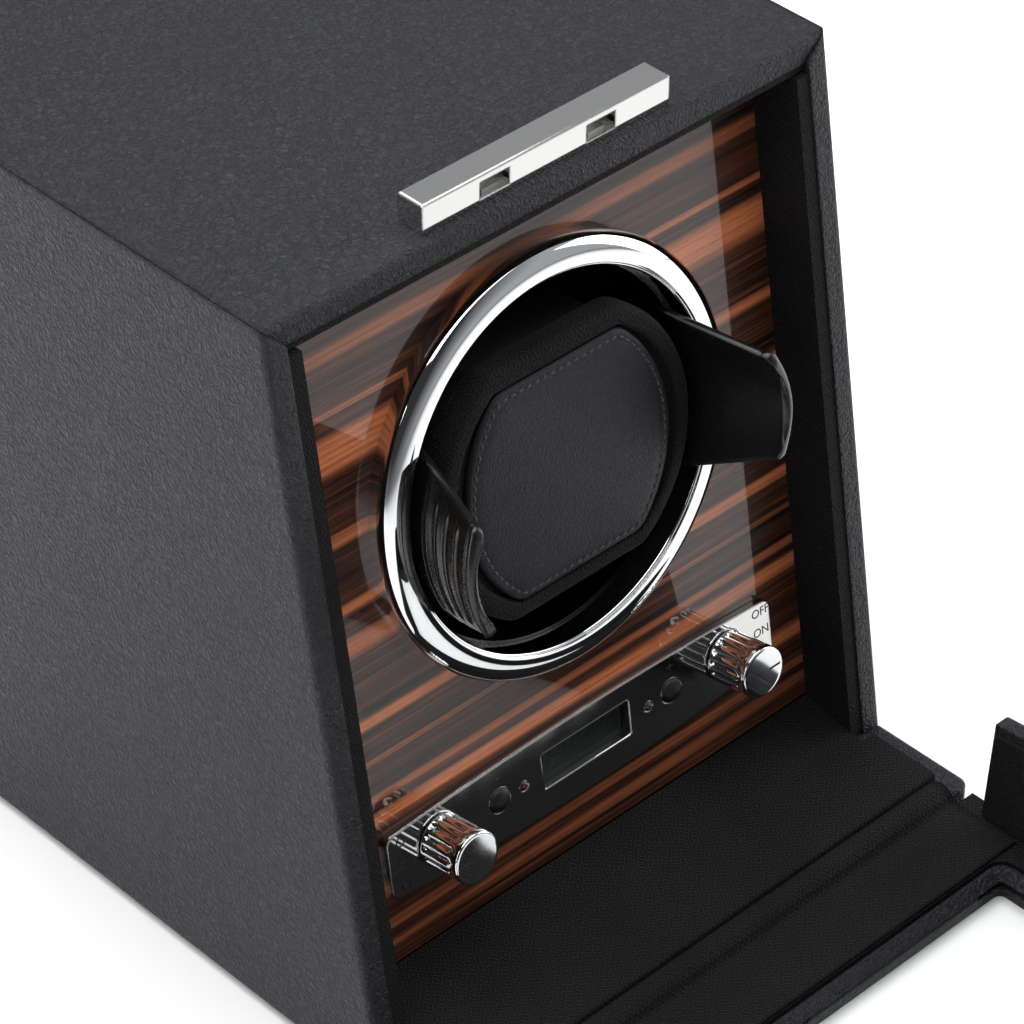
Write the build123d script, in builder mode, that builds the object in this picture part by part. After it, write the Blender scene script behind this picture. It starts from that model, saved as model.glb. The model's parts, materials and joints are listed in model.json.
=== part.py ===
from build123d import *
import os
from math import cos, pi, radians, sin, sqrt, tan

# Watch winder box: a leather-covered case with a hinged glass cover, a wood fascia, a turning drum
# with a removable watch cuff, and the drive and controls behind the fascia.
# Millimetres. +X to the right, +Y to the back, +Z up. The origin is on the table, under the middle
# of the cover's hinge. The cover is modelled open, lying on the table in front of the case.

os.makedirs("parts", exist_ok=True)

# Case
WIDTH = 165.0
HEIGHT = 195.0
BACK_Y = 199.4
FOOT = 3.0
BOARD = 6.0
LINER = 3.8
TRAY_TOP = 11.1
TRAY_FRONT_Y = 2.4
FRONT_TOP_Y = 60.5
SLANT = 9.0
EDGE = 1.5
JOINT_GAP = 0.5
TRAY_GAP = 0.1

# Fascia, measured in its own slanted frame: X, V up along the panel, N out of the panel
FASCIA_SETBACK = 14.9
FASCIA_THICK = 6.0
DRUM_V = 118.0
CONTROLS_V = 40.3
RING_R = 52.4
RING_BORE_R = 45.0
RING_WALL_N = 2.7
RING_SHOULDER_R = 3.2
RING_SHOULDER_LEAN = 35.0
RING_CROWN_R = 6.4
RING_CROWN_END = 15.0
RING_LIP_N = 5.9
RING_LIP_R = 0.6
DRUM_R = 46.5
DRUM_BORE_R = 44.3
DRUM_DEPTH = 48.0
AXLE_R = 4.0
RUNNING = 0.05

# Cuff and wings
CUFF_FRONT_N = 8.5
CUFF_REAR_N = -26.0
CUFF_HALF_H = 31.5
CUFF_HALF_W = 38.4
PAD_HALF_H = 26.3
PAD_HALF_W = 30.6
WING_R = 43.2
WING_THICK = 2.2
WING_PIVOT_N = -12.0
WING_PIVOT_X = 40.2
WING_ROOT_N = -14.0
WING_PIN_R = 1.2

# Drive
GEAR_MODULE = 1.0
GEAR_TEETH = 60
PINION_TEETH = 12
GEAR_FACE = 5.0
GEAR_N = -DRUM_DEPTH - GEAR_FACE - 1.5
BRACKET_N = GEAR_N - 8.0
BRACKET_THICK = 3.0

# Controls
PLATE_HALF_X = 61.5
PLATE_THICK = 2.0
PLATE_BEVEL = 0.3
KNOB_X = 46.0
KNOB_R = 6.5
KNOB_TOP_N = 14.3
BUTTON_X = 27.6
BUTTON_R = 3.0
LED_X = 20.0
LED_R = 1.2
LED_DROP = 0.4
LCD_SIZE = (28.0, 9.6)
BOARD_N = -12.0
BOARD_THICK = 1.6
BOARD_TOP_N = BOARD_N + BOARD_THICK

# Cover
COVER_HALF_X = 83.5
COVER_WALL = 5.0
HINGE_Z = 6.6
CLOSE_TURN = 93.5
COVER_LINING_Z = 8.5
COVER_NEAR_Y = 1.9
WINDOW_HALF_X = 67.5
WINDOW_NEAR_Y = -21.0
WINDOW_FAR_Y = -168.0
WINDOW_CORNER = 2.0
GLASS_LAP = 4.5
GLASS_Z = 3.0
GLASS_THICK = 2.4

# Hinge
HINGE_X = 50.0
LEAF_LENGTH = 30.0
LEAF_THICK = 0.8
LEAF_REACH = 14.0
LEAF_SLOT = LEAF_LENGTH + 4.0
KNUCKLE_R = 2.0

HALF = WIDTH / 2
SIDE_IN = HALF - BOARD
LINER_IN = SIDE_IN - LINER
SLOPE = tan(radians(SLANT))


def front_y(z):
    """Y of the side walls' slanted front edge at a height."""
    return FRONT_TOP_Y - (HEIGHT - z) * SLOPE


def fascia_y(z):
    """Y of the fascia's front face at a height."""
    return front_y(z) + FASCIA_SETBACK


FASCIA = Plane(
    origin=(0, fascia_y(FOOT), FOOT),
    x_dir=(1, 0, 0),
    z_dir=(0, -cos(radians(SLANT)), sin(radians(SLANT))),
)
DRUM = Plane(
    origin=FASCIA.from_local_coords(Vector(0, DRUM_V, 0)), x_dir=(1, 0, 0), z_dir=FASCIA.z_dir
)
CONTROLS = Plane(
    origin=FASCIA.from_local_coords(Vector(0, CONTROLS_V, 0)), x_dir=(1, 0, 0), z_dir=FASCIA.z_dir
)
OUTWARD = Axis(FASCIA.origin, FASCIA.z_dir)
# Section plane across the drum's axis: local X is X, local Y points into the case
DRUM_CUT = Plane(origin=DRUM.origin, x_dir=(1, 0, 0), z_dir=DRUM.y_dir)


def opened(y, z):
    """A point (y, z) of the closed cover, turned about the hinge to the open pose."""
    turn = radians(CLOSE_TURN)
    rise = z - HINGE_Z
    return y * cos(turn) - rise * sin(turn), HINGE_Z + y * sin(turn) + rise * cos(turn)


def save(builder, name):
    builder.part.label = name
    export_step(builder.part, f"parts/{name}.step")


def barrel_outline(half_w, half_h, top_half, corner):
    """Flat top and bottom edges joined by bulging side arcs, with rounded corners."""
    with BuildSketch() as outline:
        with BuildLine():
            Line((-top_half, half_h), (top_half, half_h))
            ThreePointArc((top_half, half_h), (half_w, 0), (top_half, -half_h))
            Line((top_half, -half_h), (-top_half, -half_h))
            ThreePointArc((-top_half, -half_h), (-half_w, 0), (-top_half, half_h))
        make_face()
        fillet(outline.vertices(), corner)
    return outline.sketch


def gear_outline(teeth):
    """Spur gear with straight-flanked teeth and a little backlash."""
    root_r = GEAR_MODULE * (teeth / 2 - 1.2)
    tip_r = GEAR_MODULE * (teeth / 2 + 0.85)
    root_half = 0.30 * pi * GEAR_MODULE
    tip_half = 0.12 * pi * GEAR_MODULE
    with BuildSketch() as outline:
        Circle(root_r)
        with PolarLocations(0, teeth):
            with BuildLine():
                Polyline(
                    (root_r - 0.3, -root_half),
                    (tip_r, -tip_half),
                    (tip_r, tip_half),
                    (root_r - 0.3, root_half),
                    close=True,
                )
            make_face()
    return outline.sketch


# ---------------------------------------------------------------- case panels

SIDE_OUTLINE = [
    (BACK_Y, FOOT),
    (BACK_Y, HEIGHT),
    (FRONT_TOP_Y, HEIGHT),
    (front_y(TRAY_TOP), TRAY_TOP),
    (front_y(TRAY_TOP), FOOT),
]
MITRE = BOARD - 0.2


def make_side_panel(name, sign):
    with BuildPart() as panel:
        with BuildSketch(Plane.YZ.offset(sign * HALF)):
            with BuildLine():
                Polyline(*SIDE_OUTLINE, close=True)
            make_face()
        extrude(amount=-sign * BOARD)
        inner = panel.faces().sort_by(Axis.X)[0 if sign > 0 else -1]
        chamfer(inner.edges().sort_by(Axis.Z)[-1], MITRE)
        outer = panel.faces().sort_by(Axis.X)[-1 if sign > 0 else 0]
        middle_z = (HEIGHT + TRAY_TOP) / 2
        slanted = outer.edges().sort_by_distance((sign * HALF, front_y(middle_z), middle_z))[0]
        fillet(slanted, EDGE)
    save(panel, name)


make_side_panel("side_panel_left", -1)
make_side_panel("side_panel_right", 1)

SEAM_X = HALF - 0.4

with BuildPart() as top_panel:
    with BuildSketch(Plane.XZ.offset(-BACK_Y)):
        with BuildLine():
            Polyline(
                (-SEAM_X, HEIGHT),
                (SEAM_X, HEIGHT),
                (SEAM_X - MITRE, HEIGHT - BOARD),
                (-SEAM_X + MITRE, HEIGHT - BOARD),
                close=True,
            )
        make_face()
    extrude(amount=BACK_Y - FRONT_TOP_Y)
    front_edges = top_panel.faces().sort_by(Axis.Y)[0].edges().filter_by(Axis.X)
    fillet(front_edges.sort_by(Axis.Z)[-1], EDGE)
save(top_panel, "top_panel")

tray_end = front_y(TRAY_TOP) - TRAY_GAP
with BuildPart() as base_panel:
    with BuildSketch(Plane.XY.offset(FOOT)):
        with BuildLine():
            Polyline(
                (-SIDE_IN, BACK_Y - BOARD),
                (SIDE_IN, BACK_Y - BOARD),
                (SIDE_IN, tray_end),
                (HALF, tray_end),
                (HALF, TRAY_FRONT_Y),
                (-HALF, TRAY_FRONT_Y),
                (-HALF, tray_end),
                (-SIDE_IN, tray_end),
                close=True,
            )
        make_face()
    extrude(amount=TRAY_TOP - FOOT)
    tray_corners = base_panel.edges().filter_by(Axis.Z).sort_by(Axis.Y)[:2]
    fillet(tray_corners, 2.5)
    fillet(base_panel.faces().sort_by(Axis.Z)[-1].edges().sort_by(Axis.Y)[0], EDGE)
    with Locations((-HINGE_X, TRAY_FRONT_Y, HINGE_Z), (HINGE_X, TRAY_FRONT_Y, HINGE_Z)):
        Box(LEAF_LENGTH, 2 * LEAF_REACH, LEAF_THICK, mode=Mode.SUBTRACT)
save(base_panel, "base_panel")

JACK_X = 52.0
JACK_Z = 30.0
JACK_FLANGE_R = 5.5
with BuildPart() as back_panel:
    with BuildSketch(Plane.XZ.offset(-BACK_Y)):
        with Locations((0, (HEIGHT - BOARD + FOOT) / 2)):
            Rectangle(2 * SIDE_IN, HEIGHT - BOARD - FOOT)
    extrude(amount=BOARD)
    with Locations(Plane(origin=(JACK_X, BACK_Y, JACK_Z), x_dir=(-1, 0, 0), z_dir=(0, 1, 0))):
        CounterBoreHole(4.0, JACK_FLANGE_R, 1.5, BOARD)
save(back_panel, "back_panel")

# ---------------------------------------------------------------- linings

LINING_BACK = 0.4


def make_side_liner(name, sign):
    low_z = TRAY_TOP + 0.1
    top_z = HEIGHT - BOARD - LINER + 1.2
    with BuildPart() as liner:
        with BuildSketch(Plane.YZ.offset(sign * LINER_IN)):
            with BuildLine():
                Polyline(
                    (front_y(low_z) + LINING_BACK, low_z),
                    (front_y(top_z) + LINING_BACK, top_z),
                    (fascia_y(top_z), top_z),
                    (fascia_y(low_z), low_z),
                    close=True,
                )
            make_face()
        extrude(amount=sign * LINER)
        front_face = liner.faces().sort_by(Axis.Y)[0]
        wall_edge = front_face.edges().sort_by(Axis.X)[-1 if sign > 0 else 0]
        room_edge = front_face.edges().sort_by(Axis.X)[0 if sign > 0 else -1]
        chamfer(wall_edge, 1.3)
        fillet(room_edge, 0.9)
    save(liner, name)


make_side_liner("side_liner_left", -1)
make_side_liner("side_liner_right", 1)

TOP_LINER = LINER - 1.2
with BuildPart() as top_liner:
    liner_z = HEIGHT - BOARD - TOP_LINER
    with BuildSketch(Plane.YZ.offset(-SIDE_IN + 0.05)):
        with BuildLine():
            Polyline(
                (FRONT_TOP_Y + LINING_BACK, HEIGHT - BOARD),
                (fascia_y(HEIGHT - BOARD), HEIGHT - BOARD),
                (fascia_y(liner_z), liner_z),
                (FRONT_TOP_Y + LINING_BACK, liner_z),
                close=True,
            )
        make_face()
    extrude(amount=2 * SIDE_IN - 0.1)
    fillet(top_liner.faces().sort_by(Axis.Y)[0].edges().sort_by(Axis.Z)[0], 0.9)
save(top_liner, "top_liner")

TRAY_RIM = 6.0
TRAY_LINER_FRONT = 2.3
TRAY_LINER_BACK = 5.4
with BuildPart() as tray_liner:
    liner_front_y = TRAY_FRONT_Y + TRAY_RIM
    liner_back_y = fascia_y(TRAY_TOP + TRAY_LINER_BACK)
    with BuildSketch(Plane.YZ.offset(-LINER_IN + 0.1)):
        with BuildLine():
            Polyline(
                (liner_front_y, TRAY_TOP),
                (liner_front_y, TRAY_TOP + TRAY_LINER_FRONT),
                (front_y(TRAY_TOP), TRAY_TOP + TRAY_LINER_FRONT),
                (liner_back_y, TRAY_TOP + TRAY_LINER_BACK),
                (liner_back_y, TRAY_TOP),
                close=True,
            )
        make_face()
    extrude(amount=2 * LINER_IN - 0.2)
    with Locations((0, (liner_front_y + front_y(TRAY_TOP)) / 2 - 1.5, TRAY_TOP)):
        Box(
            2 * (HALF - TRAY_RIM),
            front_y(TRAY_TOP) - liner_front_y - 3.0,
            TRAY_LINER_FRONT,
            align=(Align.CENTER, Align.CENTER, Align.MIN),
        )
    fillet(tray_liner.edges().filter_by(Axis.X).group_by(Axis.Y)[0].sort_by(Axis.Z)[-1], 0.9)
save(tray_liner, "tray_liner")

# ---------------------------------------------------------------- fascia and its fittings

FASCIA_LOW_V = (TRAY_TOP - FOOT) / cos(radians(SLANT)) + 6.0
FASCIA_HIGH_V = (HEIGHT - BOARD - TOP_LINER - FOOT) / cos(radians(SLANT)) - 1.5
FASCIA_HOLE_R = DRUM_R + 1.5
KNOB_BUSH_R = 4.5
LCD_POCKET = (36.0, 16.0)

with BuildPart() as fascia_panel:
    with BuildSketch(FASCIA):
        with Locations((0, (FASCIA_LOW_V + FASCIA_HIGH_V) / 2)):
            Rectangle(2 * SIDE_IN - 0.2, FASCIA_HIGH_V - FASCIA_LOW_V)
        with Locations((0, DRUM_V)):
            Circle(FASCIA_HOLE_R, mode=Mode.SUBTRACT)
        with Locations((0, CONTROLS_V)):
            Rectangle(*LCD_POCKET, mode=Mode.SUBTRACT)
        with Locations(*[(sign * KNOB_X, CONTROLS_V) for sign in (-1, 1)]):
            Circle(KNOB_BUSH_R, mode=Mode.SUBTRACT)
        with Locations(*[(sign * BUTTON_X, CONTROLS_V) for sign in (-1, 1)]):
            Rectangle(8.0, 8.0, mode=Mode.SUBTRACT)
        with Locations(*[(sign * LED_X, CONTROLS_V - LED_DROP) for sign in (-1, 1)]):
            Circle(LED_R + 0.3, mode=Mode.SUBTRACT)
    extrude(amount=-FASCIA_THICK)
save(fascia_panel, "fascia_panel")

CLEAT = 9.0
with BuildPart() as fascia_cleats:
    for sign in (-1, 1):
        for low_v in (FASCIA_LOW_V + 22, FASCIA_HIGH_V - 52):
            with BuildSketch(FASCIA.offset(-FASCIA_THICK)):
                with Locations((sign * (SIDE_IN - CLEAT / 2), low_v)):
                    Rectangle(CLEAT, 30.0, align=(Align.CENTER, Align.MIN))
            extrude(amount=-CLEAT)
save(fascia_cleats, "fascia_cleats")



def on_arc(centre, radius, lean):
    """Point (radius from the drum's axis, depth) on an arc, its lean in degrees outwards from the axis."""
    return centre[0] + radius * sin(radians(lean)), centre[1] - radius * cos(radians(lean))


# Bezel: a rounded shoulder, a domed crown sloping back inwards, and a thin lip round the bore
shoulder = (RING_R - RING_SHOULDER_R, -RING_WALL_N)
crown_start = on_arc(shoulder, RING_SHOULDER_R, RING_SHOULDER_LEAN)
crown = on_arc(crown_start, -RING_CROWN_R, RING_SHOULDER_LEAN)
crown_end = on_arc(crown, RING_CROWN_R, -RING_CROWN_END)
lip = (RING_BORE_R + RING_LIP_R, -RING_LIP_N + RING_LIP_R)
shoulder_middle = (90 + RING_SHOULDER_LEAN) / 2
crown_middle = (RING_SHOULDER_LEAN - RING_CROWN_END) / 2
with BuildPart() as bezel_ring:
    with BuildSketch(DRUM_CUT):
        with BuildLine():
            Polyline(
                (DRUM_R + 0.5, 4.5),
                (FASCIA_HOLE_R, 4.5),
                (FASCIA_HOLE_R, 0),
                (RING_R, 0),
                (RING_R, -RING_WALL_N),
            )
            ThreePointArc(
                (RING_R, -RING_WALL_N), on_arc(shoulder, RING_SHOULDER_R, shoulder_middle), crown_start
            )
            ThreePointArc(crown_start, on_arc(crown, RING_CROWN_R, crown_middle), crown_end)
            Line(crown_end, on_arc(lip, RING_LIP_R, 0))
            ThreePointArc(
                on_arc(lip, RING_LIP_R, 0), on_arc(lip, RING_LIP_R, -45), on_arc(lip, RING_LIP_R, -90)
            )
            Polyline(
                on_arc(lip, RING_LIP_R, -90),
                (RING_BORE_R, 0.9),
                (DRUM_R + 0.5, 0.9),
                (DRUM_R + 0.5, 4.5),
            )
        make_face()
    revolve(axis=Axis(DRUM.origin, DRUM.z_dir))
save(bezel_ring, "bezel_ring")

PLATE_END_V = (31.6, 48.4)
PLATE_MID_V = (28.3, 50.3)
with BuildPart() as control_plate:
    with BuildSketch(FASCIA) as plate_face:
        with BuildLine():
            ThreePointArc(
                (-PLATE_HALF_X, PLATE_END_V[1]), (0, PLATE_MID_V[1]), (PLATE_HALF_X, PLATE_END_V[1])
            )
            Line((PLATE_HALF_X, PLATE_END_V[1]), (PLATE_HALF_X, PLATE_END_V[0]))
            ThreePointArc(
                (PLATE_HALF_X, PLATE_END_V[0]), (0, PLATE_MID_V[0]), (-PLATE_HALF_X, PLATE_END_V[0])
            )
            Line((-PLATE_HALF_X, PLATE_END_V[0]), (-PLATE_HALF_X, PLATE_END_V[1]))
        make_face()
        fillet(plate_face.vertices(), 2.5)
    extrude(amount=PLATE_THICK)
    chamfer(control_plate.faces().sort_by(OUTWARD)[-1].edges(), PLATE_BEVEL)
    with BuildSketch(CONTROLS.offset(PLATE_THICK)):
        RectangleRounded(*LCD_SIZE, 0.6)
        with Locations(*[(sign * KNOB_X, 0) for sign in (-1, 1)]):
            Circle(3.6)
        with Locations(*[(sign * BUTTON_X, 0) for sign in (-1, 1)]):
            Circle(BUTTON_R + 0.15)
        with Locations(*[(sign * LED_X, -LED_DROP) for sign in (-1, 1)]):
            Circle(LED_R + 0.05)
    extrude(amount=-PLATE_THICK, mode=Mode.SUBTRACT)
save(control_plate, "control_plate")

with BuildPart() as lcd_lens:
    with BuildSketch(CONTROLS):
        Rectangle(LCD_SIZE[0] + 4, LCD_SIZE[1] + 3)
    extrude(amount=-1.0)
save(lcd_lens, "lcd_lens")

with BuildPart() as lcd_module:
    with BuildSketch(CONTROLS.offset(-1.0)):
        Rectangle(LCD_POCKET[0] - 2, LCD_POCKET[1] - 1.5)
    extrude(amount=-3.0)
    with BuildSketch(CONTROLS.offset(-4.0)):
        with Locations((0, 4.0)):
            Rectangle(LCD_POCKET[0] - 8, 3.0)
    extrude(amount=BOARD_TOP_N + 4.0)
save(lcd_module, "lcd_module")

with BuildPart() as control_board:
    with BuildSketch(CONTROLS.offset(BOARD_N)):
        Rectangle(2 * KNOB_X + 24, 24.0)
    extrude(amount=BOARD_THICK)
save(control_board, "control_board")

SPINDLE_R = 3.0
for name, sign in (("program_switch", -1), ("power_switch", 1)):
    with BuildPart() as switch:
        with BuildSketch(CONTROLS.offset(BOARD_TOP_N)):
            with Locations((sign * KNOB_X, 0)):
                Rectangle(13.0, 13.0)
        extrude(amount=-FASCIA_THICK - BOARD_TOP_N)
        with BuildSketch(CONTROLS.offset(-FASCIA_THICK)):
            with Locations((sign * KNOB_X, 0)):
                Circle(KNOB_BUSH_R - 0.2)
        extrude(amount=FASCIA_THICK - 0.1)
        with BuildSketch(CONTROLS.offset(-0.1)):
            with Locations((sign * KNOB_X, 0)):
                Circle(SPINDLE_R + RUNNING)
        extrude(amount=-9.0, mode=Mode.SUBTRACT)
    save(switch, name)

for name, spindle_name, sign in (("program_knob", "program_spindle", -1), ("power_knob", "power_spindle", 1)):
    with BuildPart() as knob:
        with BuildSketch(CONTROLS.offset(PLATE_THICK + 0.4)):
            with Locations((sign * KNOB_X, 0)):
                Circle(KNOB_R)
                with PolarLocations(KNOB_R + 0.75, 14):
                    Circle(1.25, mode=Mode.SUBTRACT)
        extrude(amount=KNOB_TOP_N - PLATE_THICK - 2.6)
        with BuildSketch(CONTROLS.offset(KNOB_TOP_N - 2.2)):
            with Locations((sign * KNOB_X, 0)):
                Circle(KNOB_R)
        extrude(amount=2.2)
        chamfer(knob.faces().sort_by(OUTWARD)[-1].edges(), 0.7)
        with BuildSketch(CONTROLS.offset(KNOB_TOP_N)):
            with Locations((sign * (KNOB_X + KNOB_R - 2.6), 0)):
                Rectangle(3.6, 0.9)
        extrude(amount=-0.5, mode=Mode.SUBTRACT)
        with BuildSketch(CONTROLS.offset(PLATE_THICK + 0.4)):
            with Locations((sign * KNOB_X, 0)):
                Circle(SPINDLE_R)
        extrude(amount=8.0, mode=Mode.SUBTRACT)
    save(knob, name)
    with BuildPart() as spindle:
        with BuildSketch(CONTROLS.offset(-8.6)):
            with Locations((sign * KNOB_X, 0)):
                Circle(SPINDLE_R)
        extrude(amount=8.6 + PLATE_THICK + 8.4)
    save(spindle, spindle_name)

BUTTON_TRAVEL = 0.8
STEM_N = -5.2
for name, sign in (("minus_button", -1), ("plus_button", 1)):
    with BuildPart() as button:
        with BuildSketch(CONTROLS.offset(-1.0)):
            with Locations((sign * BUTTON_X, 0)):
                Circle(BUTTON_R + 0.6)
        extrude(amount=0.9)
        with BuildSketch(CONTROLS.offset(-0.1)):
            with Locations((sign * BUTTON_X, 0)):
                Circle(BUTTON_R)
        extrude(amount=3.6)
        fillet(button.faces().sort_by(OUTWARD)[-1].edges(), 1.4)
        with BuildSketch(CONTROLS.offset(-1.0)):
            with Locations((sign * BUTTON_X, 0)):
                Circle(1.5)
        extrude(amount=STEM_N + 1.0)
    save(button, name)

with BuildPart() as tact_switches:
    for sign in (-1, 1):
        with BuildSketch(CONTROLS.offset(BOARD_TOP_N)):
            with Locations((sign * BUTTON_X, 0)):
                Rectangle(6.0, 6.0)
        extrude(amount=STEM_N - BUTTON_TRAVEL - 0.2 - BOARD_TOP_N)
save(tact_switches, "tact_switches")

for name, sign in (("led_red", -1), ("led_green", 1)):
    with BuildPart() as led:
        with BuildSketch(CONTROLS.offset(BOARD_TOP_N)):
            with Locations((sign * LED_X, -LED_DROP)):
                Circle(LED_R)
        extrude(amount=PLATE_THICK + 0.5 - BOARD_TOP_N)
        fillet(led.faces().sort_by(OUTWARD)[-1].edges(), 0.7)
    save(led, name)

# ---------------------------------------------------------------- drum, gear and bearing

with BuildPart() as drum_cup:
    with BuildSketch(DRUM.offset(-1.0)):
        Circle(DRUM_R)
    extrude(amount=-DRUM_DEPTH)
    with BuildSketch(DRUM.offset(-1.0)):
        Circle(DRUM_BORE_R)
    extrude(amount=-DRUM_DEPTH + 3.0, mode=Mode.SUBTRACT)
    with BuildSketch(DRUM.offset(-1.0 - DRUM_DEPTH)):
        Circle(AXLE_R)
    extrude(amount=3.0, mode=Mode.SUBTRACT)
    # Ledges in the bore on which the wings' roots rest
    with BuildSketch(DRUM.offset(WING_ROOT_N - 0.2)):
        Circle(DRUM_BORE_R + 0.5)
        Circle(DRUM_BORE_R - 2.8, mode=Mode.SUBTRACT)
        Rectangle(2 * DRUM_R, 24.0, mode=Mode.INTERSECT)
    extrude(amount=-2.0)
save(drum_cup, "drum_cup")

AXLE_END_N = BRACKET_N - 6.0
with BuildPart() as drum_axle:
    with BuildSketch(DRUM.offset(2.0 - DRUM_DEPTH)):
        Circle(AXLE_R + 5.0)
    extrude(amount=2.0)
    with BuildSketch(DRUM.offset(2.0 - DRUM_DEPTH)):
        Circle(AXLE_R)
    extrude(amount=AXLE_END_N - 2.0 + DRUM_DEPTH)
    with BuildSketch(DRUM.offset(AXLE_END_N + 1.5)):
        Circle(AXLE_R)
        Circle(AXLE_R - 0.7, mode=Mode.SUBTRACT)
    extrude(amount=1.1, mode=Mode.SUBTRACT)
save(drum_axle, "drum_axle")

with BuildPart() as axle_clip:
    with BuildSketch(DRUM.offset(AXLE_END_N + 1.6)):
        Circle(AXLE_R + 2.2)
        Circle(AXLE_R - 0.7, mode=Mode.SUBTRACT)
        with Locations((0, AXLE_R + 1.0)):
            Rectangle(3.0, 5.0, mode=Mode.SUBTRACT)
    extrude(amount=0.9)
save(axle_clip, "axle_clip")

with BuildPart() as drum_gear:
    with BuildSketch(DRUM.offset(GEAR_N)):
        add(gear_outline(GEAR_TEETH))
        Circle(AXLE_R, mode=Mode.SUBTRACT)
    extrude(amount=-1.0 - DRUM_DEPTH - GEAR_N)
save(drum_gear, "drum_gear")

PINION_DROP = GEAR_MODULE * (GEAR_TEETH + PINION_TEETH) / 2
MOTOR = Plane(
    origin=DRUM.from_local_coords(Vector(0, -PINION_DROP, 0)), x_dir=(1, 0, 0), z_dir=DRUM.z_dir
)
MOTOR_SHAFT_R = 2.0
with BuildPart() as pinion:
    with BuildSketch(MOTOR.offset(GEAR_N)):
        add(gear_outline(PINION_TEETH).rotate(Axis.Z, 180 / PINION_TEETH))
    extrude(amount=GEAR_FACE)
    with BuildSketch(MOTOR.offset(GEAR_N)):
        Circle(MOTOR_SHAFT_R)
    extrude(amount=BRACKET_N - 8.0 - GEAR_N)
save(pinion, "pinion")


POST_X = 54.0
POST_V = 30.0
POST_R = 4.0
BUSH_R = 7.0
with BuildPart() as motor_bracket:
    with BuildSketch(DRUM.offset(BRACKET_N)):
        RectangleRounded(2 * POST_X + 14, 2 * POST_V + 14, 5.0)
        with Locations((0, -PINION_DROP - 2)):
            RectangleRounded(40.0, 40.0, 5.0)
        Circle(BUSH_R, mode=Mode.SUBTRACT)
        with Locations((0, -PINION_DROP)):
            Circle(5.0, mode=Mode.SUBTRACT)
        with GridLocations(2 * POST_X, 2 * POST_V, 2, 2):
            Circle(1.7, mode=Mode.SUBTRACT)
    extrude(amount=BRACKET_THICK)
save(motor_bracket, "motor_bracket")

with BuildPart() as drum_bearing:
    with BuildSketch(DRUM.offset(BRACKET_N - 1.5)):
        Circle(BUSH_R)
        Circle(AXLE_R + RUNNING, mode=Mode.SUBTRACT)
    extrude(amount=BRACKET_THICK + 1.5)
    with BuildSketch(DRUM.offset(BRACKET_N - 3.0)):
        Circle(BUSH_R + 2.0)
        Circle(AXLE_R + RUNNING, mode=Mode.SUBTRACT)
    extrude(amount=3.0)
save(drum_bearing, "drum_bearing")

with BuildPart() as bracket_posts:
    with BuildSketch(DRUM.offset(BRACKET_N + BRACKET_THICK)):
        with GridLocations(2 * POST_X, 2 * POST_V, 2, 2):
            Circle(POST_R)
            Circle(1.4, mode=Mode.SUBTRACT)
    extrude(amount=-BRACKET_N - BRACKET_THICK - FASCIA_THICK)
save(bracket_posts, "bracket_posts")

with BuildPart() as bracket_screws:
    with BuildSketch(DRUM.offset(BRACKET_N)):
        with GridLocations(2 * POST_X, 2 * POST_V, 2, 2):
            Circle(2.9)
    extrude(amount=-2.0)
    with BuildSketch(DRUM.offset(BRACKET_N)):
        with GridLocations(2 * POST_X, 2 * POST_V, 2, 2):
            Circle(1.4)
    extrude(amount=12.0)
save(bracket_screws, "bracket_screws")

with BuildPart() as gearbox:
    with BuildSketch(MOTOR.offset(BRACKET_N)):
        RectangleRounded(30.0, 30.0, 3.0)
    extrude(amount=-22.0)
    with BuildSketch(MOTOR.offset(BRACKET_N)):
        Circle(MOTOR_SHAFT_R + RUNNING)
    extrude(amount=-9.0, mode=Mode.SUBTRACT)
save(gearbox, "gearbox")

with BuildPart() as gear_motor:
    with BuildSketch(MOTOR.offset(BRACKET_N - 22.0)):
        Circle(12.0)
    extrude(amount=-28.0)
    with BuildSketch(MOTOR.offset(BRACKET_N - 50.0)):
        Circle(4.0)
    extrude(amount=-2.0)
save(gear_motor, "gear_motor")

with BuildPart() as dc_jack:
    with BuildSketch(Plane.XZ.offset(-BACK_Y + 0.2)):
        with Locations((JACK_X, JACK_Z)):
            Circle(JACK_FLANGE_R)
    extrude(amount=1.3)
    with BuildSketch(Plane.XZ.offset(-BACK_Y + 1.5)):
        with Locations((JACK_X, JACK_Z)):
            Circle(4.0)
    extrude(amount=11.0)
    with BuildSketch(Plane.XZ.offset(-BACK_Y + 0.2)):
        with Locations((JACK_X, JACK_Z)):
            Circle(2.8)
            Circle(1.0, mode=Mode.SUBTRACT)
    extrude(amount=9.5, mode=Mode.SUBTRACT)
save(dc_jack, "dc_jack")

FOOT_X = 66.0
with BuildPart() as feet:
    with BuildSketch(Plane.XY):
        with Locations((0, (BACK_Y + TRAY_FRONT_Y) / 2)):
            with GridLocations(2 * FOOT_X, BACK_Y - TRAY_FRONT_Y - 36, 2, 2):
                Circle(7.0)
    extrude(amount=FOOT)
    fillet(feet.edges().group_by(Axis.Z)[0], 0.8)
save(feet, "feet")

# ---------------------------------------------------------------- watch cuff

PAD_THICK = 2.6
SHELL_SPLIT_N = 1.0
REAR_SPLIT_N = -15.0

with BuildPart() as cuff_pad:
    with BuildSketch(DRUM.offset(CUFF_FRONT_N - PAD_THICK)):
        add(barrel_outline(PAD_HALF_W, PAD_HALF_H, 18.5, 6.0))
    extrude(amount=PAD_THICK)
    fillet(cuff_pad.faces().sort_by(OUTWARD)[-1].edges(), 1.0)
save(cuff_pad, "cuff_pad")

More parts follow.
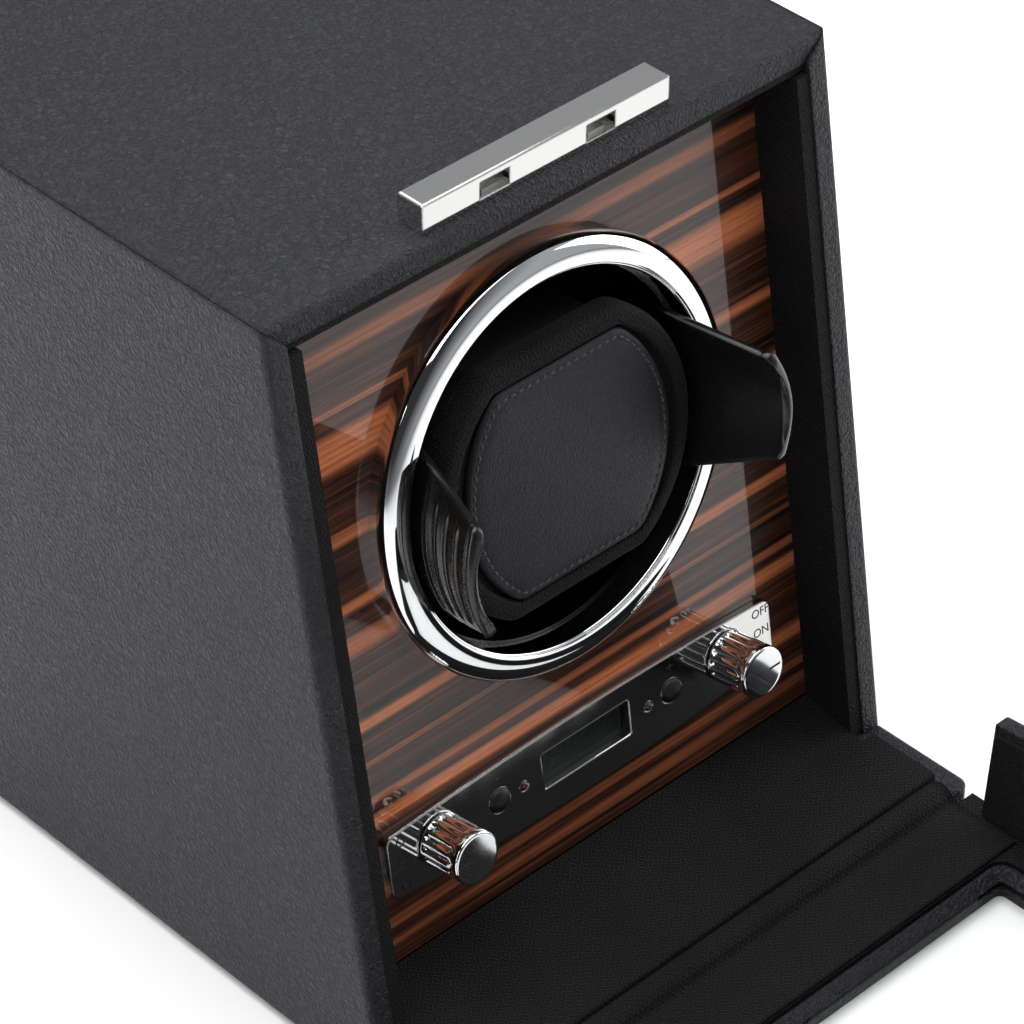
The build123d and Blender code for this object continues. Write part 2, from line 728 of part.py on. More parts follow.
with BuildPart() as cuff_front_shell:
    with BuildSketch(DRUM.offset(SHELL_SPLIT_N)):
        add(barrel_outline(CUFF_HALF_W, CUFF_HALF_H, 20.0, 4.0))
    extrude(amount=CUFF_FRONT_N - 0.9 - SHELL_SPLIT_N)
    fillet(cuff_front_shell.faces().sort_by(OUTWARD)[-1].edges(), 2.2)
    with BuildSketch(DRUM.offset(CUFF_FRONT_N - PAD_THICK)):
        add(barrel_outline(PAD_HALF_W + 0.5, PAD_HALF_H + 0.5, 18.5, 6.0))
    extrude(amount=PAD_THICK, mode=Mode.SUBTRACT)
save(cuff_front_shell, "cuff_front_shell")

CORE_HALF_W = 34.0
LUG_HALF_V = 7.0
LUG_THICK = 3.8
with BuildPart() as cuff_core:
    with BuildSketch(DRUM.offset(REAR_SPLIT_N)):
        add(barrel_outline(CORE_HALF_W, CUFF_HALF_H - 3, 18.0, 4.0))
    extrude(amount=SHELL_SPLIT_N - REAR_SPLIT_N)
    for sign in (-1, 1):
        with BuildSketch(DRUM.offset(WING_PIVOT_N - LUG_THICK / 2)):
            with Locations(*[(sign * (WING_PIVOT_X - 4.0), lug_v) for lug_v in (-LUG_HALF_V, LUG_HALF_V)]):
                Rectangle(12.0, 4.0)
        extrude(amount=LUG_THICK)
    # Pivot pins across the lugs
    with BuildSketch(DRUM_CUT.offset(-LUG_HALF_V - 2.0)):
        with Locations(*[(sign * WING_PIVOT_X, -WING_PIVOT_N) for sign in (-1, 1)]):
            Circle(WING_PIN_R)
    extrude(amount=2 * LUG_HALF_V + 4.0)
save(cuff_core, "cuff_core")

with BuildPart() as cuff_rear_shell:
    with BuildSketch(DRUM.offset(REAR_SPLIT_N)):
        add(barrel_outline(CUFF_HALF_W, CUFF_HALF_H, 20.0, 4.0))
    extrude(amount=CUFF_REAR_N - REAR_SPLIT_N)
    fillet(cuff_rear_shell.faces().sort_by(OUTWARD)[0].edges(), 2.5)
save(cuff_rear_shell, "cuff_rear_shell")

# Each wing is a curved plate that follows the drum's bore, then flares outwards to a rounded tip
WING_BEND_N = 3.0
WING_TIP_N = 29.0
WING_ROOT_HALF = 20.0
WING_TIP_HALF = 13.3
WING_TIP_X = 46.8
WING_TIP_SAG = 3.3
KNUCKLE_HALF = LUG_HALF_V - 2.3


def wing_section(sign, middle_x, sag, half):
    """Cross-section of a wing: two parallel arcs, bulging away from the cuff."""
    with BuildSketch() as section:
        with BuildLine():
            inner_x = sign * middle_x
            outer_x = sign * (middle_x + WING_THICK)
            edge_in = sign * (middle_x - sag)
            edge_out = sign * (middle_x + WING_THICK - sag)
            ThreePointArc((edge_in, -half), (inner_x, 0), (edge_in, half))
            Line((edge_in, half), (edge_out, half))
            ThreePointArc((edge_out, half), (outer_x, 0), (edge_out, -half))
            Line((edge_out, -half), (edge_in, -half))
        make_face()
    return section.sketch


def make_wing(name, sign):
    inner_r = WING_R - WING_THICK
    root_sag = inner_r - sqrt(inner_r**2 - WING_ROOT_HALF**2)
    with BuildPart() as wing:
        with BuildSketch(DRUM.offset(WING_ROOT_N)):
            add(wing_section(sign, inner_r, root_sag, WING_ROOT_HALF))
        extrude(amount=WING_BEND_N - WING_ROOT_N)
        with BuildSketch(DRUM.offset(WING_BEND_N)):
            add(wing_section(sign, inner_r, root_sag, WING_ROOT_HALF))
        with BuildSketch(DRUM.offset(WING_TIP_N - 3.0)):
            add(wing_section(sign, WING_TIP_X - 0.6, WING_TIP_SAG, WING_TIP_HALF))
        loft()
        with BuildSketch(DRUM.offset(WING_TIP_N - 3.0)):
            add(wing_section(sign, WING_TIP_X - 0.6, WING_TIP_SAG, WING_TIP_HALF))
        with BuildSketch(DRUM.offset(WING_TIP_N)):
            add(wing_section(sign, WING_TIP_X, WING_TIP_SAG / 2, WING_TIP_HALF - 3.5))
        loft()
        with BuildSketch(DRUM_CUT.offset(-KNUCKLE_HALF)):
            with Locations((sign * WING_PIVOT_X, -WING_PIVOT_N)):
                Circle(2.3)
        extrude(amount=2 * KNUCKLE_HALF)
        with BuildSketch(DRUM_CUT.offset(-KNUCKLE_HALF - 0.1)):
            with Locations((sign * WING_PIVOT_X, -WING_PIVOT_N)):
                Circle(WING_PIN_R + RUNNING)
        extrude(amount=2 * KNUCKLE_HALF + 0.2, mode=Mode.SUBTRACT)
        with BuildSketch(DRUM.offset(WING_ROOT_N)):
            with Locations(*[(sign * WING_R, lug_v) for lug_v in (-LUG_HALF_V, LUG_HALF_V)]):
                Rectangle(12.0, 4.6)
        extrude(amount=6.0, mode=Mode.SUBTRACT)
    save(wing, name)


make_wing("wing_left", -1)
make_wing("wing_right", 1)

# ---------------------------------------------------------------- clasp

CLASP_HALF_X = 36.0
CLASP_HIGH = 7.5
CLASP_DEEP = 7.6
CLASP_Y = FRONT_TOP_Y + 2.6
CATCH_X = 15.5
with BuildPart() as clasp_bar:
    with Locations((0, CLASP_Y, HEIGHT)):
        Box(2 * CLASP_HALF_X, CLASP_DEEP, CLASP_HIGH, align=(Align.CENTER, Align.MIN, Align.MIN))
    chamfer(clasp_bar.faces().sort_by(Axis.Z)[-1].edges(), 0.35)
    with Locations((-CATCH_X, CLASP_Y, HEIGHT + 1.6), (CATCH_X, CLASP_Y, HEIGHT + 1.6)):
        Box(8.6, 9.6, 4.2, align=(Align.CENTER, Align.CENTER, Align.MIN), mode=Mode.SUBTRACT)
save(clasp_bar, "clasp_bar")

with BuildPart() as clasp_catches:
    for sign in (-1, 1):
        with Locations((sign * CATCH_X, CLASP_Y + 4.8, HEIGHT + 1.6)):
            Box(8.6, 0.9, 4.2, align=(Align.CENTER, Align.MAX, Align.MIN))
        with Locations((sign * CATCH_X, CLASP_Y + 3.9, HEIGHT + 1.6)):
            Box(5.0, 2.4, 0.8, align=(Align.CENTER, Align.MAX, Align.MIN))
save(clasp_catches, "clasp_catches")

# ---------------------------------------------------------------- cover

COVER_BOARD = 6.0
TOP_REAR_Y = FRONT_TOP_Y - JOINT_GAP
SIDE_FOOT_Z = TRAY_TOP + JOINT_GAP


def closed_front_y(z):
    """Y of the cover side walls' free edge, when closed, at a height."""
    return front_y(z) - JOINT_GAP


def foot_line_y(open_z):
    """Open-pose Y of the closed side walls' level foot, at an open-pose height."""
    turn = radians(CLOSE_TURN)
    rise = SIDE_FOOT_Z - HINGE_Z
    closed_y = (open_z - HINGE_Z - rise * cos(turn)) / sin(turn)
    return closed_y * cos(turn) - rise * sin(turn)


def top_plane_y(open_z):
    """Open-pose Y of the closed cover's level top surface, at an open-pose height."""
    turn = radians(CLOSE_TURN)
    return -((HEIGHT - HINGE_Z) + (open_z - HINGE_Z) * abs(cos(turn))) / sin(turn)


with BuildPart() as cover_board:
    with BuildSketch(Plane.YZ.offset(-COVER_HALF_X)):
        with BuildLine():
            Polyline(
                (COVER_NEAR_Y, 0),
                (COVER_NEAR_Y, COVER_BOARD),
                (top_plane_y(COVER_BOARD), COVER_BOARD),
                (top_plane_y(0), 0),
                close=True,
            )
        make_face()
    extrude(amount=2 * COVER_HALF_X)
    fillet(cover_board.edges().filter_by(Axis.X).group_by(Axis.Z)[0], EDGE)
    with BuildSketch(Plane.XY):
        with Locations((0, (WINDOW_NEAR_Y + WINDOW_FAR_Y) / 2)):
            RectangleRounded(2 * WINDOW_HALF_X, WINDOW_NEAR_Y - WINDOW_FAR_Y, WINDOW_CORNER)
    extrude(amount=COVER_BOARD, mode=Mode.SUBTRACT)
    with BuildSketch(Plane.XY.offset(COVER_BOARD)):
        with Locations((0, (WINDOW_NEAR_Y + WINDOW_FAR_Y) / 2)):
            RectangleRounded(
                2 * (WINDOW_HALF_X + GLASS_LAP),
                WINDOW_NEAR_Y - WINDOW_FAR_Y + 2 * GLASS_LAP,
                WINDOW_CORNER + GLASS_LAP,
            )
    extrude(amount=GLASS_Z - COVER_BOARD, mode=Mode.SUBTRACT)
    with Locations((-HINGE_X, 0, HINGE_Z), (HINGE_X, 0, HINGE_Z)):
        Box(LEAF_SLOT, 5.4, 5.4, mode=Mode.SUBTRACT)
    with Locations((-HINGE_X, -2.7, COVER_BOARD), (HINGE_X, -2.7, COVER_BOARD)):
        Box(
            LEAF_LENGTH,
            LEAF_REACH - 2.7,
            LEAF_THICK,
            align=(Align.CENTER, Align.MAX, Align.MAX),
            mode=Mode.SUBTRACT,
        )
save(cover_board, "cover_board")

with BuildPart() as window_glass:
    with BuildSketch(Plane.XY.offset(GLASS_Z)):
        with Locations((0, (WINDOW_NEAR_Y + WINDOW_FAR_Y) / 2)):
            RectangleRounded(
                2 * (WINDOW_HALF_X + GLASS_LAP) - 0.8,
                WINDOW_NEAR_Y - WINDOW_FAR_Y + 2 * GLASS_LAP - 0.8,
                WINDOW_CORNER + GLASS_LAP - 0.4,
            )
    extrude(amount=GLASS_THICK)
save(window_glass, "window_glass")

FRAME_WIDE = 2.0
with BuildPart() as window_frame:
    with BuildSketch(Plane.XY.offset(GLASS_Z + GLASS_THICK)):
        with Locations((0, (WINDOW_NEAR_Y + WINDOW_FAR_Y) / 2)):
            RectangleRounded(
                2 * (WINDOW_HALF_X + FRAME_WIDE),
                WINDOW_NEAR_Y - WINDOW_FAR_Y + 2 * FRAME_WIDE,
                WINDOW_CORNER + FRAME_WIDE,
            )
            RectangleRounded(
                2 * WINDOW_HALF_X, WINDOW_NEAR_Y - WINDOW_FAR_Y, WINDOW_CORNER, mode=Mode.SUBTRACT
            )
    extrude(amount=COVER_LINING_Z - 0.3 - GLASS_Z - GLASS_THICK)
    fillet(window_frame.faces().sort_by(Axis.Z)[-1].edges(), 0.7)
save(window_frame, "window_frame")

NEAR_FOOT_Y = foot_line_y(COVER_BOARD)
COVER_SIDE_OUTLINE = [
    opened(closed_front_y(SIDE_FOOT_Z), SIDE_FOOT_Z),
    (NEAR_FOOT_Y, COVER_BOARD),
    (top_plane_y(COVER_BOARD), COVER_BOARD),
    opened(TOP_REAR_Y, HEIGHT),
]


def make_cover_side(name, sign):
    with BuildPart() as side:
        with BuildSketch(Plane.YZ.offset(sign * COVER_HALF_X)):
            with BuildLine():
                Polyline(*COVER_SIDE_OUTLINE, close=True)
            make_face()
        extrude(amount=-sign * COVER_WALL)
        outer = side.faces().sort_by(Axis.X)[-1 if sign > 0 else 0]
        rim = outer.edges().sort_by(Axis.Z)[1:]
        fillet(rim, EDGE)
    save(side, name)


make_cover_side("cover_side_left", -1)
make_cover_side("cover_side_right", 1)

COVER_IN_X = COVER_HALF_X - COVER_WALL
with BuildPart() as cover_top:
    inner_rear = opened(closed_front_y(HEIGHT - BOARD), HEIGHT - BOARD)
    inner_foot_y = top_plane_y(COVER_BOARD) + BOARD / sin(radians(CLOSE_TURN))
    with BuildSketch(Plane.YZ.offset(-COVER_IN_X)):
        with BuildLine():
            Polyline(
                (top_plane_y(COVER_BOARD), COVER_BOARD),
                opened(TOP_REAR_Y, HEIGHT),
                inner_rear,
                (inner_foot_y, COVER_BOARD),
                close=True,
            )
        make_face()
    extrude(amount=2 * COVER_IN_X)
    fillet(cover_top.edges().filter_by(Axis.X).sort_by(Axis.Y)[0], 1.0)
save(cover_top, "cover_top")

FRAME_GAP = 0.8
LINER_STEP = 0.9
with BuildPart() as cover_liner:
    with BuildSketch(Plane.XY.offset(COVER_BOARD)):
        with Locations((0, NEAR_FOOT_Y)):
            Rectangle(
                2 * COVER_IN_X - 0.2,
                NEAR_FOOT_Y - inner_foot_y - 0.4,
                align=(Align.CENTER, Align.MAX),
            )
        with Locations((0, COVER_NEAR_Y)):
            Rectangle(
                2 * (COVER_HALF_X - 1.5),
                COVER_NEAR_Y - NEAR_FOOT_Y - 0.2,
                align=(Align.CENTER, Align.MAX),
            )
        with Locations((0, (COVER_NEAR_Y + NEAR_FOOT_Y) / 2 - 4)):
            Rectangle(2 * COVER_IN_X - 0.2, 14.0)
        with Locations((0, (WINDOW_NEAR_Y + WINDOW_FAR_Y) / 2)):
            RectangleRounded(
                2 * (WINDOW_HALF_X + FRAME_WIDE + FRAME_GAP),
                WINDOW_NEAR_Y - WINDOW_FAR_Y + 2 * (FRAME_WIDE + FRAME_GAP),
                WINDOW_CORNER + FRAME_WIDE + FRAME_GAP,
                mode=Mode.SUBTRACT,
            )
        with Locations((0, COVER_NEAR_Y - LINER_STEP)):
            Rectangle(3 * COVER_HALF_X, 12.0, align=(Align.CENTER, Align.MIN), mode=Mode.SUBTRACT)
    extrude(amount=COVER_LINING_Z - COVER_BOARD)
    with Locations((-HINGE_X, 0, HINGE_Z), (HINGE_X, 0, HINGE_Z)):
        Box(LEAF_SLOT, 5.4, 6.4, mode=Mode.SUBTRACT)
save(cover_liner, "cover_liner")

RIM_LINER = 1.2
with BuildPart() as cover_rim_liners:
    rim_low = COVER_LINING_Z
    near_y, near_z = opened(closed_front_y(SIDE_FOOT_Z) - 1.0, SIDE_FOOT_Z + 1.0)
    far_y, far_z = opened(closed_front_y(HEIGHT - BOARD - RIM_LINER - 1), HEIGHT - BOARD - RIM_LINER - 1)
    near_foot = NEAR_FOOT_Y - 1.2
    far_foot = inner_foot_y + RIM_LINER + 0.4
    rim_liner_rear_y = closed_front_y(HEIGHT - BOARD) - 0.5
    for sign in (-1, 1):
        with BuildSketch(Plane.YZ.offset(sign * COVER_IN_X)):
            with BuildLine():
                Polyline(
                    (near_y, near_z - 1.2),
                    (far_y, far_z - 1.2),
                    (far_foot, rim_low),
                    (near_foot, rim_low),
                    close=True,
                )
            make_face()
        extrude(amount=-sign * RIM_LINER)
    with BuildSketch(Plane.YZ.offset(-COVER_IN_X + 0.1)):
        with BuildLine():
            Polyline(
                opened(rim_liner_rear_y, HEIGHT - BOARD),
                opened(rim_liner_rear_y, HEIGHT - BOARD - RIM_LINER),
                (inner_foot_y + RIM_LINER, rim_low),
                (inner_foot_y, rim_low),
                close=True,
            )
        make_face()
    extrude(amount=2 * COVER_IN_X - 0.2)
save(cover_rim_liners, "cover_rim_liners")

# The cover's own chrome bar overhangs its free edge and meets the bar on the case when closed
LATCH_BACK_Y = CLASP_Y - 0.4
LATCH_FRONT_Y = LATCH_BACK_Y - CLASP_DEEP
OVERHANG_GAP = 0.3
HOOK_REACH = 2.2
with BuildPart() as cover_clasp_bar:
    with BuildSketch(Plane.YZ.offset(-CLASP_HALF_X)):
        with BuildLine():
            Polyline(
                opened(LATCH_FRONT_Y, HEIGHT),
                opened(LATCH_FRONT_Y, HEIGHT + CLASP_HIGH),
                opened(LATCH_BACK_Y, HEIGHT + CLASP_HIGH),
                opened(LATCH_BACK_Y, HEIGHT + OVERHANG_GAP),
                opened(TOP_REAR_Y, HEIGHT + OVERHANG_GAP),
                opened(TOP_REAR_Y, HEIGHT),
                close=True,
            )
        make_face()
    extrude(amount=2 * CLASP_HALF_X)
    for sign in (-1, 1):
        with BuildSketch(Plane.YZ.offset(sign * CATCH_X - 2.5)):
            with BuildLine():
                Polyline(
                    opened(LATCH_BACK_Y, HEIGHT + 3.2),
                    opened(LATCH_BACK_Y + HOOK_REACH, HEIGHT + 3.2),
                    opened(LATCH_BACK_Y + HOOK_REACH, HEIGHT + 4.6),
                    opened(LATCH_BACK_Y, HEIGHT + 4.6),
                    close=True,
                )
            make_face()
        extrude(amount=5.0)
save(cover_clasp_bar, "cover_clasp_bar")

# ---------------------------------------------------------------- hinge

KNUCKLES = 5
KNUCKLE_PITCH = LEAF_LENGTH / KNUCKLES
PIN_R = 0.9


def make_leaf(name, direction, first):
    """Leaf plate with every other knuckle; direction is +1 for the case side, -1 for the cover."""
    with BuildPart() as leaf:
        for centre in (-HINGE_X, HINGE_X):
            z = HINGE_Z if direction > 0 else COVER_BOARD - LEAF_THICK / 2
            start = 1.4
            reach = TRAY_FRONT_Y + LEAF_REACH if direction > 0 else LEAF_REACH
            plate_start = TRAY_FRONT_Y if direction > 0 else 2.7
            with Locations((centre, direction * plate_start, z)):
                Box(
                    LEAF_LENGTH,
                    reach - plate_start,
                    LEAF_THICK,
                    align=(Align.CENTER, Align.MIN if direction > 0 else Align.MAX, Align.CENTER),
                )
            for index in range(first, KNUCKLES, 2):
                x = centre - LEAF_LENGTH / 2 + (index + 0.5) * KNUCKLE_PITCH
                with BuildSketch(Plane.YZ.offset(x - KNUCKLE_PITCH / 2 + 0.15)):
                    with Locations((0, HINGE_Z)):
                        Circle(KNUCKLE_R)
                extrude(amount=KNUCKLE_PITCH - 0.3)
                with Locations((x, direction * start, z)):
                    Box(
                        KNUCKLE_PITCH - 0.3,
                        plate_start - start + 0.2,
                        LEAF_THICK,
                        align=(Align.CENTER, Align.MIN if direction > 0 else Align.MAX, Align.CENTER),
                    )
            with BuildSketch(Plane.YZ.offset(centre - LEAF_LENGTH / 2 - 1)):
                with Locations((0, HINGE_Z)):
                    Circle(PIN_R + (0 if direction > 0 else RUNNING))
            extrude(amount=LEAF_LENGTH + 2, mode=Mode.SUBTRACT)
    save(leaf, name)


make_leaf("hinge_leaf_case", 1, 0)
make_leaf("hinge_leaf_cover", -1, 1)

with BuildPart() as hinge_pins:
    for centre in (-HINGE_X, HINGE_X):
        with BuildSketch(Plane.YZ.offset(centre - LEAF_LENGTH / 2)):
            with Locations((0, HINGE_Z)):
                Circle(PIN_R)
        extrude(amount=LEAF_LENGTH)
save(hinge_pins, "hinge_pins")
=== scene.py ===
import json
from math import asin, atan2, cos, pi, radians, sin, sqrt

import bpy
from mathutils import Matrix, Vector


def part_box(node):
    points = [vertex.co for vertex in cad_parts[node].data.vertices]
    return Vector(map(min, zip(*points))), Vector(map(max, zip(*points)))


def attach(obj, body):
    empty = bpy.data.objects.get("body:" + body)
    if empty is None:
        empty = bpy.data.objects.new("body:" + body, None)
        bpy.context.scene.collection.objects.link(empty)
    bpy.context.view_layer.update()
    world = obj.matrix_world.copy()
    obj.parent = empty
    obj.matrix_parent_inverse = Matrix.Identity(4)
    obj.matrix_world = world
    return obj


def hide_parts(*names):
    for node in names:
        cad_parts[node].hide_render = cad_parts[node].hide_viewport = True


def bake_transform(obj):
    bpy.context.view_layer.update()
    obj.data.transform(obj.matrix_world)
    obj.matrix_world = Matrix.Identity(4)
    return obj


# Looks of the watch winder box: leather case and cover, cloth lining, glossy veneer fascia with chrome
# fittings, and the cuff with its wings. Metres in Blender; the helpers below take millimetres.

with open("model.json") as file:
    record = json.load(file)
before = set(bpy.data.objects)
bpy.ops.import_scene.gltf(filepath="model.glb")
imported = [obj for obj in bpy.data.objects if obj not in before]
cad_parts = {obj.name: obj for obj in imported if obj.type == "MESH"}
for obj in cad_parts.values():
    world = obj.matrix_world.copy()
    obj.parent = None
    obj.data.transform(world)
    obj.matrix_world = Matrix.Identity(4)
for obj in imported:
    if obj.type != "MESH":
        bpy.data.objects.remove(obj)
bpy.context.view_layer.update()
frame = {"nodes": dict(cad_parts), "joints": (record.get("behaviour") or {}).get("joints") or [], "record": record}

MM = 0.001
JOINTS = {joint["name"]: joint for joint in frame["joints"]}
RIGHT = Vector((1, 0, 0))
OUT = Vector(JOINTS["drum_spin"]["axis"])
UP = OUT.cross(RIGHT)
DRUM_AT = Vector(JOINTS["drum_spin"]["pos_m"])
DRUM_V = 118.0
CONTROLS_V = 40.3


def on_fascia(x, v, n):
    """A point given in millimetres on the slanted fascia: x right, v up from its foot, n out of it."""
    return DRUM_AT + (RIGHT * x + UP * (v - DRUM_V) + OUT * n) * MM


# ---------------------------------------------------------------- shader helpers


class Shader:
    """A material under construction: its node tree, and short calls that add and join nodes."""

    def __init__(self, name, **sockets):
        self.material = bpy.data.materials.new(name)
        self.material.use_nodes = True
        self.nodes = self.material.node_tree.nodes
        self.links = self.material.node_tree.links
        self.bsdf = self.nodes["Principled BSDF"]
        for socket, value in sockets.items():
            self.set(socket.replace("_", " "), value)
        coordinates = self.nodes.new("ShaderNodeTexCoord")
        self.position = coordinates.outputs["Object"]

    def set(self, socket, value):
        target = self.bsdf.inputs[socket]
        if isinstance(value, bpy.types.NodeSocket):
            self.links.new(value, target)
        elif isinstance(value, tuple) and len(value) == 3 and len(target.default_value) == 4:
            target.default_value = (*value, 1.0)
        else:
            target.default_value = value

    def add(self, kind, inputs=(), **properties):
        made = self.nodes.new("ShaderNode" + kind)
        for key, value in properties.items():
            setattr(made, key, value)
        for key, value in dict(inputs).items():
            if isinstance(value, bpy.types.NodeSocket):
                self.links.new(value, made.inputs[key])
            else:
                made.inputs[key].default_value = value
        return made

    def math(self, operation, first, second=0.0, third=0.0, clamp=False):
        made = self.add("Math", {0: first, 1: second, 2: third}, operation=operation, use_clamp=clamp)
        return made.outputs[0]

    def mix(self, factor, first, second, blend="MIX"):
        made = self.add("Mix", {0: factor}, data_type="RGBA", blend_type=blend, clamp_factor=True)
        for key, value in ((6, first), (7, second)):
            if isinstance(value, bpy.types.NodeSocket):
                self.links.new(value, made.inputs[key])
            else:
                made.inputs[key].default_value = (*value, 1.0)
        return made.outputs[2]

    def stretched(self, scale, rotation=(0, 0, 0), source=None):
        inputs = {"Vector": source or self.position, "Scale": scale, "Rotation": rotation}
        return self.add("Mapping", inputs).outputs[0]

    def noise(self, scale, detail=3.0, roughness=0.55, vector=None, distortion=0.0):
        inputs = {
            "Vector": vector or self.position,
            "Scale": scale,
            "Detail": detail,
            "Roughness": roughness,
            "Distortion": distortion,
        }
        return self.add("TexNoise", inputs).outputs["Fac"]

    def cells(self, scale, feature="F1", vector=None, randomness=1.0, smoothness=0.6):
        inputs = {"Vector": vector or self.position, "Scale": scale, "Randomness": randomness}
        made = self.add("TexVoronoi", feature=feature)
        if feature == "SMOOTH_F1":
            inputs["Smoothness"] = smoothness
        for key, value in inputs.items():
            if isinstance(value, bpy.types.NodeSocket):
                self.links.new(value, made.inputs[key])
            else:
                made.inputs[key].default_value = value
        return made.outputs["Distance"]

    def remap(self, value, low, high, to_low=0.0, to_high=1.0, smooth=False):
        inputs = {"Value": value, "From Min": low, "From Max": high, "To Min": to_low, "To Max": to_high}
        kind = "SMOOTHSTEP" if smooth else "LINEAR"
        return self.add("MapRange", inputs, interpolation_type=kind, clamp=True).outputs[0]

    def relief(self, height, distance, strength=1.0, below=None):
        inputs = {"Height": height, "Distance": distance, "Strength": strength}
        if below is not None:
            inputs["Normal"] = below
        return self.add("Bump", inputs).outputs[0]


# ---------------------------------------------------------------- materials


def leather(name, colour, grain_mm, depth_mm, gloss, fold_mm=1.8):
    """Wrinkled leather: small pebbles parted by soft creases, longer folds, and edges worn round."""
    shader = Shader(name, Specular_IOR_Level=0.34, Specular_Tint=(0.92, 0.94, 1.0), Sheen_Weight=0.01)
    warp = shader.add("TexNoise", {"Vector": shader.position, "Scale": 0.45 / (grain_mm * MM), "Detail": 3.0})
    drift = shader.add("VectorMath", {0: warp.outputs["Color"], 1: (0.5, 0.5, 0.5)}, operation="SUBTRACT")
    reach = shader.add("VectorMath", {0: drift.outputs[0], "Scale": 3.2 * grain_mm * MM}, operation="SCALE")
    moved = shader.add("VectorMath", {0: shader.position, 1: reach.outputs[0]}, operation="ADD").outputs[0]
    scale = 1.0 / (grain_mm * MM)
    pebble = shader.cells(scale, "SMOOTH_F1", moved, smoothness=0.4)
    crease = shader.cells(scale * 0.55, "DISTANCE_TO_EDGE", moved)
    wave = shader.noise(scale * 0.30, 3.0, 0.6, moved)
    fine = shader.noise(scale * 2.4, 4.0, 0.6)
    broad = shader.noise(38.0, 3.0, 0.5)
    raised = shader.remap(pebble, 0.0, 0.8, 1.0, 0.0, smooth=True)
    folded = shader.remap(crease, 0.0, 0.2, 0.0, 1.0, smooth=True)
    fold = shader.math("ABSOLUTE", shader.math("SUBTRACT", wave, 0.5))
    fold = shader.remap(fold, 0.0, 0.07, 0.0, 1.0, smooth=True)
    grain = shader.math("MULTIPLY_ADD", folded, 0.30, shader.math("MULTIPLY", raised, 0.35))
    grain = shader.math("MULTIPLY_ADD", fold, 0.30, grain)
    grain = shader.math("MULTIPLY_ADD", fine, 0.30, grain)
    rounded = shader.add("Bevel", {"Radius": fold_mm * MM}, samples=4).outputs[0]
    soft = shader.relief(broad, 0.9 * MM, 0.3, below=rounded)
    normal = shader.relief(grain, depth_mm * MM, 1.0, below=soft)
    # Painted shade: the base colour goes darker in the creases, along the folds and between the pebbles, where
    # shade falls in the relief.
    dark = tuple(channel * 0.45 for channel in colour)
    light = tuple(min(1.0, channel * 1.25) for channel in colour)
    worn = shader.mix(shader.remap(broad, 0.3, 0.7), colour, light)
    shader.set("Base Color", shader.mix(shader.remap(grain, 0.4, 0.95), dark, worn))
    shader.set("Roughness", shader.remap(grain, 0.4, 1.1, gloss + 0.12, gloss - 0.06))
    shader.set("Normal", normal)
    return shader.material


def lining_cloth(name, colour, pitch_mm=3.4):
    """Fine cloth embossed with nested diamonds, laid in whichever plane the surface faces."""
    shader = Shader(name, Specular_IOR_Level=0.10, Sheen_Weight=0.04, Sheen_Roughness=0.45)
    waver = shader.add("TexNoise", {"Vector": shader.position, "Scale": 330.0, "Detail": 1.0})
    drift = shader.add("VectorMath", {0: waver.outputs["Color"], 1: (0.5, 0.5, 0.5)}, operation="SUBTRACT")
    reach = shader.add("VectorMath", {0: drift.outputs[0], "Scale": 0.9 * MM}, operation="SCALE")
    wavy = shader.add("VectorMath", {0: shader.position, 1: reach.outputs[0]}, operation="ADD")
    split = shader.add("SeparateXYZ", {0: wavy.outputs[0]})
    facing = shader.add("NewGeometry").outputs["Normal"]
    normal_split = shader.add("SeparateXYZ", {0: facing})
    x, y, z = split.outputs
    nx, ny, nz = (shader.math("ABSOLUTE", side) for side in normal_split.outputs)
    lying = shader.math("GREATER_THAN", nz, shader.math("MAXIMUM", nx, ny))
    sideways = shader.math("GREATER_THAN", nx, shader.math("MAXIMUM", ny, nz))
    across = shader.add("Mix", {0: sideways, 2: x, 3: y}).outputs[0]
    along = shader.add("Mix", {0: lying, 2: z, 3: y}).outputs[0]
    pitch = pitch_mm * MM

    def folded(value, size):
        return shader.math("PINGPONG", value, size / 2)

    tall = pitch * 1.25
    across_share = shader.math("DIVIDE", folded(across, pitch), pitch)
    along_share = shader.math("DIVIDE", folded(along, tall), tall)
    diamond = shader.math("ADD", across_share, along_share)
    rings = shader.math("SINE", shader.math("MULTIPLY", diamond, 2 * pi * 3.0))
    per_thread = 2 * pi / (0.42 * MM)
    tufts = shader.math(
        "MULTIPLY",
        shader.math("SINE", shader.math("MULTIPLY", across, per_thread)),
        shader.math("SINE", shader.math("MULTIPLY", along, per_thread)),
    )
    nap = shader.noise(1500.0, 3.0, 0.6)
    broad = shader.noise(45.0, 2.0, 0.5)
    pressed = shader.remap(rings, 0.1, 0.95, 0.0, 1.0, smooth=True)
    weave = shader.math("MULTIPLY_ADD", tufts, 0.2, shader.math("MULTIPLY", nap, 0.5))
    base = shader.relief(weave, 0.14 * MM, 0.8)
    shader.set("Normal", shader.relief(pressed, 0.22 * MM, 0.9, below=base))
    # Painted shade: the pressed hollows of the embossed diamonds are coloured darker than the raised rings.
    deep = tuple(channel * 0.35 for channel in colour)
    pale = tuple(channel * 2.0 for channel in colour)
    lit = shader.mix(shader.remap(broad, 0.3, 0.75), colour, pale)
    shader.set("Base Color", shader.mix(shader.math("MULTIPLY_ADD", pressed, 0.6, 0.4), deep, lit))
    shader.set("Roughness", shader.remap(nap, 0.2, 0.9, 0.62, 0.85))
    return shader.material


